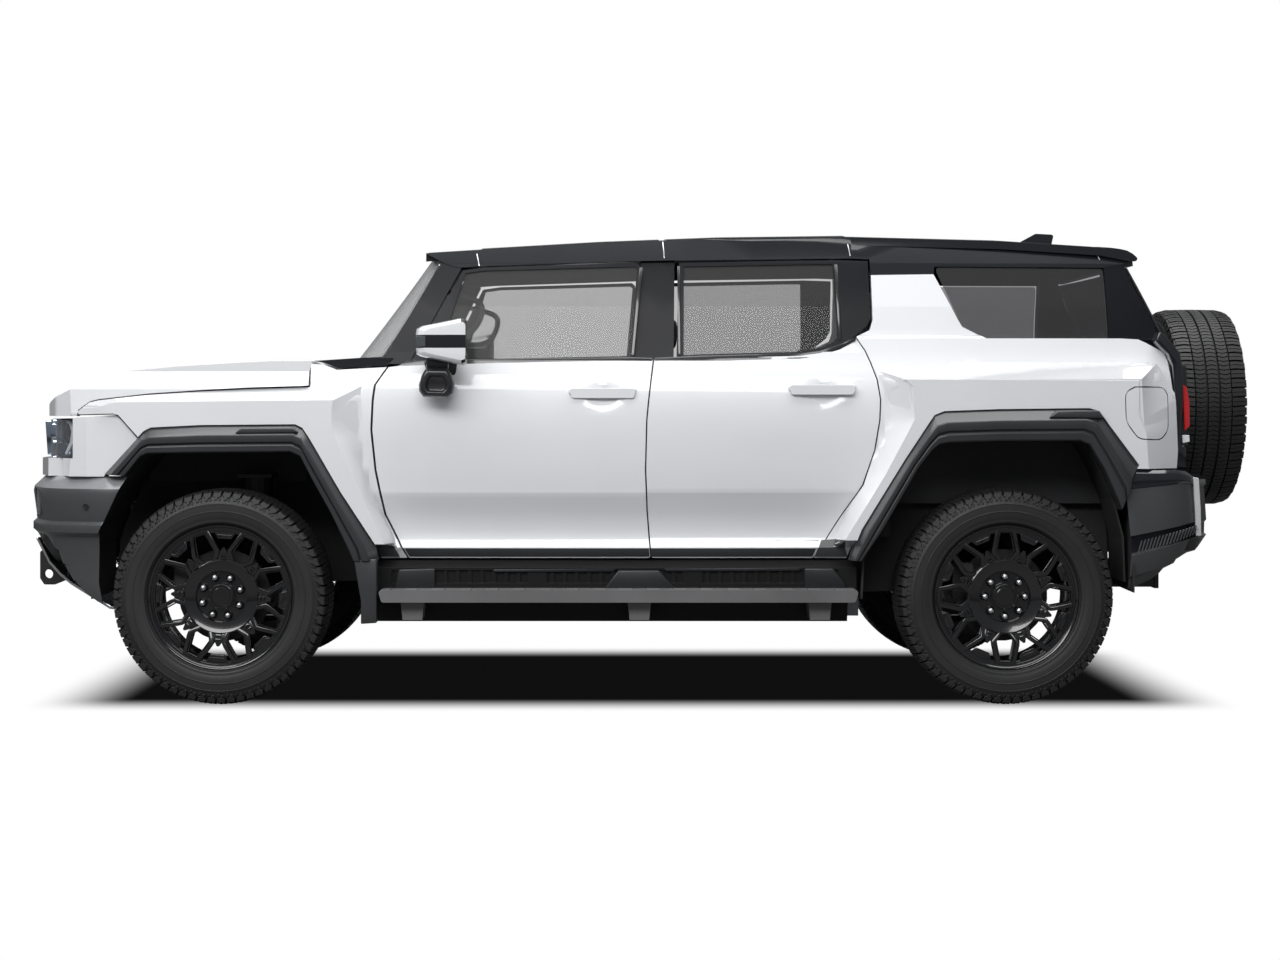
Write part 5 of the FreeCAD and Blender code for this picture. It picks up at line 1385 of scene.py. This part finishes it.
def buildHeadLamps():
    frames, bands, ambers = [], [], []
    for side in (1, -1):
        frames.append(plate("housing", metres(headLamps["housing"]), "XZ", side * 0.70, side * 0.02,
                            0.0, 0.004))
        for low, high in headLamps["bars"]:
            bar = [(side * 0.655, low), (side * 0.905, low), (side * 0.900, high), (side * 0.655, high)]
            frames.append(plate("lampBar", bar, "YZ", 2.440, 0.036, 0.0, 0.003, 2))
        for across in headLamps["projectors"]:
            outline = [(side * (across + step), height) for step, height in headLamps["projector"]]
            frames.append(plate("projector", outline, "YZ", 2.440, 0.050, 0.0, 0.010, 4))
        bands.append(plate("lampBand", metres(headLamps["band"]), "XZ", side * 0.898, side * 0.028,
                           0.0, 0.003, 2))
        ambers.append(plate("lampAmber", metres(headLamps["amber"]), "XZ", side * 0.916, side * 0.022,
                            0.0, 0.003, 2))
    for name, pieces, material, slotName in (("lampFrame", frames, "lampChrome", "alloy"),
                                             ("lampBand", bands, "lampWhite", "lamp_clear"),
                                             ("lampAmber", ambers, "lampAmber", "lamp_clear")):
        dress(smoothed(joined(name, pieces), 35), "root", material, slotName)


# Rear bumper: the same swept wall turned to the rear, with a black cap and slanted ribs.

rearBumper = {
    "stations": [(1925, 1.075, 452), (1995, 1.075, 480), (2060, 1.074, 508), (2110, 1.070, 534),
                 (2168, 1.056, 574), (2215, 1.026, 626), (2250, 0.990, 676), (2286, 0.935, 684),
                 (2320, 0.870, 680), (2345, 0.800, 660), (2363, 0.700, 610), (2372, 0.560, 566),
                 (2372, 0.300, 560), (2372, 0.000, 560)],
    "reach": (1930, 2240),
    "nearWheel": [(962, 150), (962, 16), (950, 2), (896, 0), (888, 9), (880, 9), (686, 0), (676, 8),
                  (612, 9), (604, 0), (542, 26), (514, 34), (504, 46), (460, 60)],
    "atCorner": [(962, 110), (962, 20), (948, 4), (926, 0), (918, 9), (912, 9), (748, 0), (738, 8),
                 (692, 9), (686, 0), (628, 26), (600, 40), (590, 60), (560, 90)],
    "thickness": 0.010,
    "wheelCut": [(1800, 300), (1972, 300), (1970, 482), (1966, 679), (1946, 893), (1946, 1000), (1800, 1000)],
    "spareBay": [(-0.530, 0.745), (0.530, 0.745), (0.530, 1.0), (-0.530, 1.0)],
    "gateBay": [(-0.830, 0.935), (0.830, 0.935), (0.830, 1.0), (-0.830, 1.0)],
    "cap": {"above": 0.905, "drop": 0.028, "from": 2.19, "over": 0.07},
    # The flank band is the recess round the ribs, given a painted shade below.
    "flank": {"start": -1.93, "length": 0.31, "capLine": 0.878, "capRise": 0.034,
              "band": (0.606, 0.682), "bandRise": (0.08, 0.062), "bandBeyond": 0.94},
    "end": [(0.600, 0.470), (1.060, 0.462), (1.060, 0.900), (0.600, 0.900)],
    "ribs": {"count": 17, "start": -1985, "run": 248, "foot": 612, "footRise": 80, "height": 66,
             "heightLoss": 18, "side": 1.060, "bendAt": 0.45, "bend": 0.052},
    "edge": [(2238, 932), (2262, 928), (2270, 800), (2272, 690), (2250, 690), (2246, 800)],
}


def buildRearBumper():
    wall = sweptWall("rearBumper", rearBumper, "nearWheel", "atCorner")
    cap, flank = rearBumper["cap"], rearBumper["flank"]
    for vertex in wall.data.vertices:
        if vertex.co.z > cap["above"]:
            vertex.co.z -= cap["drop"] * min(max((vertex.co.x - cap["from"]) / cap["over"], 0.0), 1.0)
    thicken(wall, rearBumper["thickness"])
    for side in (1, -1):
        carve(wall, plate("cutter", metres(rearBumper["wheelCut"]), "XZ", side * 0.80, side * 0.40))
    carve(wall, plate("cutter", rearBumper["spareBay"], "YZ", 2.240, 0.20))
    carve(wall, plate("cutter", rearBumper["gateBay"], "YZ", 2.100, 0.164))
    smoothed(eased(wall, 0.003, 2, 26), 32)
    bumper = copyAt(wall, "rearBumper", Matrix.Scale(-1, 4, (1, 0, 0)))
    bpy.data.objects.remove(wall, do_unlink=True)
    dress(bumper, "root", "cladding", "cladding")
    bumper.data.materials.append(materials["capBlack"])
    bumper.data.materials.append(materials["frameBlack"])
    for face in bumper.data.polygons:
        share = min(max((flank["start"] - face.center.x) / flank["length"], 0.0), 1.0)
        low, high = [base + rise * share for base, rise in zip(flank["band"], flank["bandRise"])]
        if face.center.z > flank["capLine"] + flank["capRise"] * share:
            face.material_index = 1
        # The recessed rib band on the flanks takes the darkest black: painted shade in the recess.
        elif low < face.center.z < high and abs(face.center.y) > flank["bandBeyond"]:
            face.material_index = 2
    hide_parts("rear_bumper")
    closing = plate("bumperEnd", rearBumper["end"], "YZ", -1.984, 0.006)
    bothSides(closing, "bumperEnd", onRoot, "linerBlack", "cladding")
    form, ribs = rearBumper["ribs"], []
    for index in range(form["count"]):
        share = (index + 0.5) / form["count"]
        x = form["start"] - form["run"] * share
        low = form["foot"] + form["footRise"] * share
        high = low + form["height"] - form["heightLoss"] * share
        bend = max(share - form["bendAt"], 0.0) / (1.0 - form["bendAt"])
        y = form["side"] - form["bend"] * bend ** 2
        points = [(x, low + 4), (x - 7, low + 4), (x - 24, high - 4), (x - 17, high - 4)]
        ribs.append(plate("rib", metres(points), "XZ", y - 0.012, 0.020, 0.0, 0.0015, 1))
    bothSides(joined("cornerRibs", ribs), "cornerRibs", onRoot, "cladding", "cladding")
    strip = plate("cornerStrip", metres([(-x, z) for x, z in rearBumper["edge"]]), "XZ", 0.950, 0.052, 0.0,
                  0.003, 2)
    bothSides(strip, "cornerStrip", onRoot, "stripSilver", "alloy")


# Tail lamps: a black housing with a red lens and a clear lower part, beside a black corner post.

tailLamps = {
    "housing": [(-2188, 1060), (-2188, 1392), (-2232, 1392), (-2240, 1240), (-2242, 1060)],
    "lens": [(-2212, 1316), (-2233, 1304), (-2244, 1240), (-2245, 1141), (-2224, 1120), (-2218, 1240)],
    "lower": [(-2214, 1104), (-2244, 1104), (-2245, 1076), (-2216, 1070)],
    "post": [(-2100, 1492), (-2118, 1472), (-2153, 1439), (-2171, 1392), (-2176, 1325), (-2179, 1254),
             (-2182, 1060), (-2180, 968), (-2226, 968), (-2226, 1054), (-2200, 1062), (-2214, 1254),
             (-2214, 1316), (-2212, 1384), (-2200, 1446), (-2166, 1486), (-2128, 1526), (-2112, 1530)],
}


def buildTailLamps():
    housing = plate("lampHousing", metres(tailLamps["housing"]), "XZ", 0.836, 0.080, 0.0, 0.004, 2)
    twin = mirroredTwin(housing, "lampHousingTwin")
    whole = joined("tailLampHousing", [housing, twin])
    dress(smoothed(whole, 35), "root", "capBlack", "trim_black")
    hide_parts("tail_lamps")
    lens = plate("tailLens", metres(tailLamps["lens"]), "XZ", 0.842, 0.080, 0.0, 0.003, 2)
    bothSides(lens, "tailLens", onRoot, "lampRed", "lamp_red")
    lower = plate("tailClear", metres(tailLamps["lower"]), "XZ", 0.842, 0.078, 0.0, 0.003, 2)
    bothSides(lower, "tailClear", onRoot, "lampWhite", "lamp_clear")
    post = plate("cornerPost", metres(tailLamps["post"]), "XZ", 0.836, 0.102, 0.0, 0.006, 3)
    bothSides(smoothed(post, 35), "cornerPost", onRoot, "capBlack", "trim_black")


# Seats: crowned pads with bolsters and sewn channels, on closed shells and plinths. A place is the front
# edge, the distance from the middle, the width and the foot's height. A half width of 0 is the seat's own.

seats = {
    "places": [(0.330, 0.405, 0.500, 0.600), (-0.560, 0.330, 0.640, 0.640)],
    "cuts": 23,
    "power": 5.0,
    "bolster": {"height": 0.022, "place": 0.80, "width": 0.14},
    "seam": {"depth": 0.007, "place": 0.58, "width": 0.045, "across": 0.05},
    "piping": {"height": 0.003, "width": 0.12},
    "pads": {
        "Cushion": {"half": (0.0, 0.236, 0.062), "inset": 0.004, "crown": 0.012,
                    "channels": [-0.45, 0.0, 0.45], "ends": [(0.240, 0.182), (-0.225, 0.150)]},
        "Back": {"half": (0.0, 0.300, 0.046), "inset": 0.006, "crown": 0.010,
                 "channels": [-0.5, -0.1, 0.3, 0.66], "ends": [(-0.420, 0.826), (-0.306, 0.235)]},
        "HeadRest": {"half": (0.126, 0.066, 0.036), "crown": 0.006,
                     "channels": [], "ends": [(-0.426, 1.004), (-0.420, 0.868)]},
    },
    "shell": [(0.236, 0.128), (0.190, 0.096), (-0.225, 0.086), (-0.245, 0.130), (-0.472, 0.810),
              (-0.450, 0.812), (-0.226, 0.142), (-0.180, 0.110), (0.180, 0.118)],
}


def softPad(name, half, crown, channels, place):
    # A rounded block of the given half sizes: local X across, Y along and Z up, with its top crowned.
    mesh = bmesh.new()
    bmesh.ops.create_cube(mesh, size=2.0)
    bmesh.ops.subdivide_edges(mesh, edges=mesh.edges, cuts=seats["cuts"], use_grid_fill=True)
    power, bolster, seam, piping = seats["power"], seats["bolster"], seats["seam"], seats["piping"]
    for vertex in mesh.verts:
        x, y, z = vertex.co
        length = (abs(x) ** power + abs(y) ** power + abs(z) ** power) ** (1.0 / power)
        x, y, z = x / length, y / length, z / length
        pull = 1.0 - 0.05 * (1.0 - abs(z)) * (1.0 - min(abs(x), abs(y)) ** 2)
        top = max(z, 0.0) ** 2
        rise = crown * (1.0 - x * x) * (1.0 - y * y) * top
        if channels:
            rise += bolster["height"] * math.exp(-((abs(x) - bolster["place"]) / bolster["width"]) ** 2) * top
            sewn = math.exp(-((abs(x) - seam["place"]) / seam["width"]) ** 2)
            if abs(x) < seam["place"]:
                sewn = max([sewn] + [math.exp(-((y - line) / seam["across"]) ** 2) for line in channels])
            rise -= seam["depth"] * sewn * top
        edge = math.exp(-(z / piping["width"]) ** 2) * piping["height"]
        vertex.co = (x * (half[0] * pull + edge), y * (half[1] * pull + edge), z * half[2] + rise)
    piece = meshPiece(name, mesh)
    piece.data.transform(place)
    return smoothed(piece, 60)


def seatPlace(front, rear, side):
    # Turns a pad so that its Y runs between two side-view points and its Z faces the sitter.
    along = Vector((front[0] - rear[0], 0.0, front[1] - rear[1])).normalized()
    across = Vector((0.0, 1.0, 0.0))
    up = across.cross(along) * -1.0
    middle = Vector(((front[0] + rear[0]) / 2, side, (front[1] + rear[1]) / 2))
    turn = Matrix((across * -1.0, along, up)).transposed().to_4x4()
    return Matrix.Translation(middle) @ turn


def buildSeats():
    shells = []
    for row, (frontX, across, width, baseZ) in enumerate(seats["places"]):
        half = width / 2
        backX = frontX - 0.260
        for side, label in ((1, "Left"), (-1, "Right")):
            middle = across * side
            for kind, form in seats["pads"].items():
                size = (form["half"][0] or half - form["inset"], *form["half"][1:])
                ends = [(frontX + along, baseZ + up) for along, up in form["ends"]]
                part = softPad("seat%s%d%s" % (kind, row, label), size, form["crown"], form["channels"],
                               seatPlace(*ends, middle))
                dress(part, "root", "seat", "seat_cover")
            shell = [(frontX + along, baseZ + up) for along, up in seats["shell"]]
            rear = max(frontX - 0.200, -0.690)
            plinth = [(frontX + 0.190, 0.592), (frontX + 0.170, baseZ + 0.100), (rear + 0.010, baseZ + 0.092),
                      (rear, 0.592)]
            for outline, reach in ((shell, half - 0.012), (plinth, half - 0.050)):
                shells.append(plate("seatShell", outline, "XZ", middle - reach, reach * 2, 0.0, 0.006, 2))
            for stem in (-0.045, 0.045):
                post = spunPiece("seatPost", [(0.0, 0.0), (0.0, 0.007), (0.070, 0.007), (0.070, 0.0)], 12)
                foot = Matrix.Translation((backX - 0.168, middle + stem, baseZ + 0.812))
                shells.append(copyAt(post, "seatPost", foot @ Matrix.Rotation(math.radians(90), 4, "X")))
                bpy.data.objects.remove(post, do_unlink=True)
    frames = dress(smoothed(joined("seatShells", shells), 35), "root", "interior", "interior_dark")
    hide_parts("seats")


buildRoofEdge()
buildGlazing()
buildFlares()
buildWheelSpaces()
buildMirrors()
buildGrabHandles()
buildRockers()
buildPanels()
buildFrontBumper()
buildHeadLamps()
buildRearBumper()
buildTailLamps()
buildSeats()
print("body details ready")


# Floor, backdrop, lights and camera

def aimed(place, target):
    return (Vector(target) - Vector(place)).to_track_quat("-Z", "Y").to_euler()


def addArea(name, place, target, size, power):
    light = bpy.data.lights.new(name, "AREA")
    light.shape = "RECTANGLE"
    light.size, light.size_y = size
    light.energy = power
    lamp = bpy.data.objects.new(name, light)
    lamp.location = place
    lamp.rotation_euler = aimed(place, target)
    bpy.context.scene.collection.objects.link(lamp)


studio = {
    # The contact shade: full up to the first distance of a pair, and gone at the second.
    "shadeMiddle": 0.07,
    "shadeAlong": (2.07, 2.51),
    "shadeNear": (0.84, 1.26),
    "shadeFar": (0.74, 1.22),
    "shadeDepth": 0.995,
    "bounce": 0.15,
    "worldLight": 0.22,
    # Each light: its place, what it points at, its size and its power.
    "lights": {
        "overhead": ((0, 0.4, 6.5), (0, 0.2, 0), (9, 6), 620),
        "sideFill": ((2.6, 7.0, 5.4), (0, 0, 0.9), (10, 2.6), 520),
    },
}


def mathNode(tree, operation, *values):
    node = tree.nodes.new("ShaderNodeMath")
    node.operation = operation
    for socket, value in zip(node.inputs, values):
        if isinstance(value, (int, float)):
            socket.default_value = value
        else:
            tree.links.new(value, socket)
    return node.outputs[0]


def buildFloor():
    # White to the camera, with a soft dark contact shade under the vehicle, and greyer to its paint.
    bpy.ops.mesh.primitive_plane_add(size=120, location=(0, 0, 0))
    floor = bpy.context.object
    floor.name = "floor"
    material = newMaterial("floorWhite", (0.9, 0.9, 0.9), 0.9)
    floor.data.materials.append(material)
    tree = material.node_tree
    place = tree.nodes.new("ShaderNodeTexCoord")
    parts = tree.nodes.new("ShaderNodeSeparateXYZ")
    tree.links.new(place.outputs["Object"], parts.inputs[0])
    along = mathNode(tree, "ABSOLUTE", mathNode(tree, "SUBTRACT", parts.outputs[0], studio["shadeMiddle"]))
    shares = []
    for value, name in ((along, "shadeAlong"), (parts.outputs[1], "shadeNear"),
                        (mathNode(tree, "MULTIPLY", parts.outputs[1], -1.0), "shadeFar")):
        fade = tree.nodes.new("ShaderNodeMapRange")
        fade.interpolation_type = "SMOOTHSTEP"
        fade.inputs["From Min"].default_value, fade.inputs["From Max"].default_value = studio[name]
        fade.inputs["To Min"].default_value = 1.0
        fade.inputs["To Max"].default_value = 0.0
        tree.links.new(value, fade.inputs["Value"])
        shares.append(fade.outputs["Result"])
    inside = mathNode(tree, "MULTIPLY", mathNode(tree, "MULTIPLY", shares[0], shares[1]), shares[2])
    shade = mathNode(tree, "SUBTRACT", 1.0, mathNode(tree, "MULTIPLY", inside, studio["shadeDepth"]))
    seen = tree.nodes.new("ShaderNodeCombineColor")
    for socket in seen.inputs:
        tree.links.new(shade, socket)
    ground = tree.nodes.new("ShaderNodeEmission")
    tree.links.new(seen.outputs["Color"], ground.inputs["Color"])
    bounce = tree.nodes.new("ShaderNodeBsdfDiffuse")
    bounce.inputs["Color"].default_value = (*[studio["bounce"]] * 3, 1.0)
    path = tree.nodes.new("ShaderNodeLightPath")
    direct = mathNode(tree, "MAXIMUM", path.outputs["Is Camera Ray"], path.outputs["Is Transmission Ray"])
    mix = tree.nodes.new("ShaderNodeMixShader")
    tree.links.new(direct, mix.inputs["Fac"])
    tree.links.new(bounce.outputs["BSDF"], mix.inputs[1])
    tree.links.new(ground.outputs["Emission"], mix.inputs[2])
    tree.links.new(mix.outputs["Shader"], tree.nodes["Material Output"].inputs["Surface"])


def buildWorld():
    world = bpy.data.worlds.new("studio")
    bpy.context.scene.world = world
    world.use_nodes = True
    tree = world.node_tree
    tree.nodes.clear()
    leave = tree.nodes.new("ShaderNodeOutputWorld")
    seen = tree.nodes.new("ShaderNodeBackground")
    seen.inputs["Color"].default_value = (1.0, 1.0, 1.0, 1.0)
    seen.inputs["Strength"].default_value = 1.0
    lit = tree.nodes.new("ShaderNodeBackground")
    lit.inputs["Color"].default_value = (0.93, 0.96, 1.0, 1.0)
    lit.inputs["Strength"].default_value = studio["worldLight"]
    path = tree.nodes.new("ShaderNodeLightPath")
    mix = tree.nodes.new("ShaderNodeMixShader")
    direct = mathNode(tree, "MAXIMUM", path.outputs["Is Camera Ray"], path.outputs["Is Transmission Ray"])
    tree.links.new(direct, mix.inputs["Fac"])
    tree.links.new(lit.outputs["Background"], mix.inputs[1])
    tree.links.new(seen.outputs["Background"], mix.inputs[2])
    tree.links.new(mix.outputs["Shader"], leave.inputs["Surface"])


# The fitted camera: its place in metres, its focal length and centre in pixels of a picture 1280 wide.
view = {
    "place": (0.18775, 10.404, 1.227), "focal": 2286.4, "centre": (603.3, 405.4), "middle": (640.0, 480.0),
    "width": 1280.0, "sensor": 36.0,
}


def buildCamera():
    data = bpy.data.cameras.new("camera")
    data.sensor_width = view["sensor"]
    data.lens = view["sensor"] * view["focal"] / view["width"]
    data.shift_x = (view["middle"][0] - view["centre"][0]) / view["width"]
    data.shift_y = (view["centre"][1] - view["middle"][1]) / view["width"]
    data.clip_end = 200.0
    camera = bpy.data.objects.new("camera", data)
    camera.location = view["place"]
    camera.rotation_euler = (math.radians(90), 0, math.radians(180))
    bpy.context.scene.collection.objects.link(camera)
    bpy.context.scene.camera = camera


buildFloor()
buildWorld()
buildCamera()
for name, (place, target, size, power) in studio["lights"].items():
    addArea(name, place, target, size, power)
scene = bpy.context.scene
scene.view_settings.view_transform = "Standard"
print("stage ready")
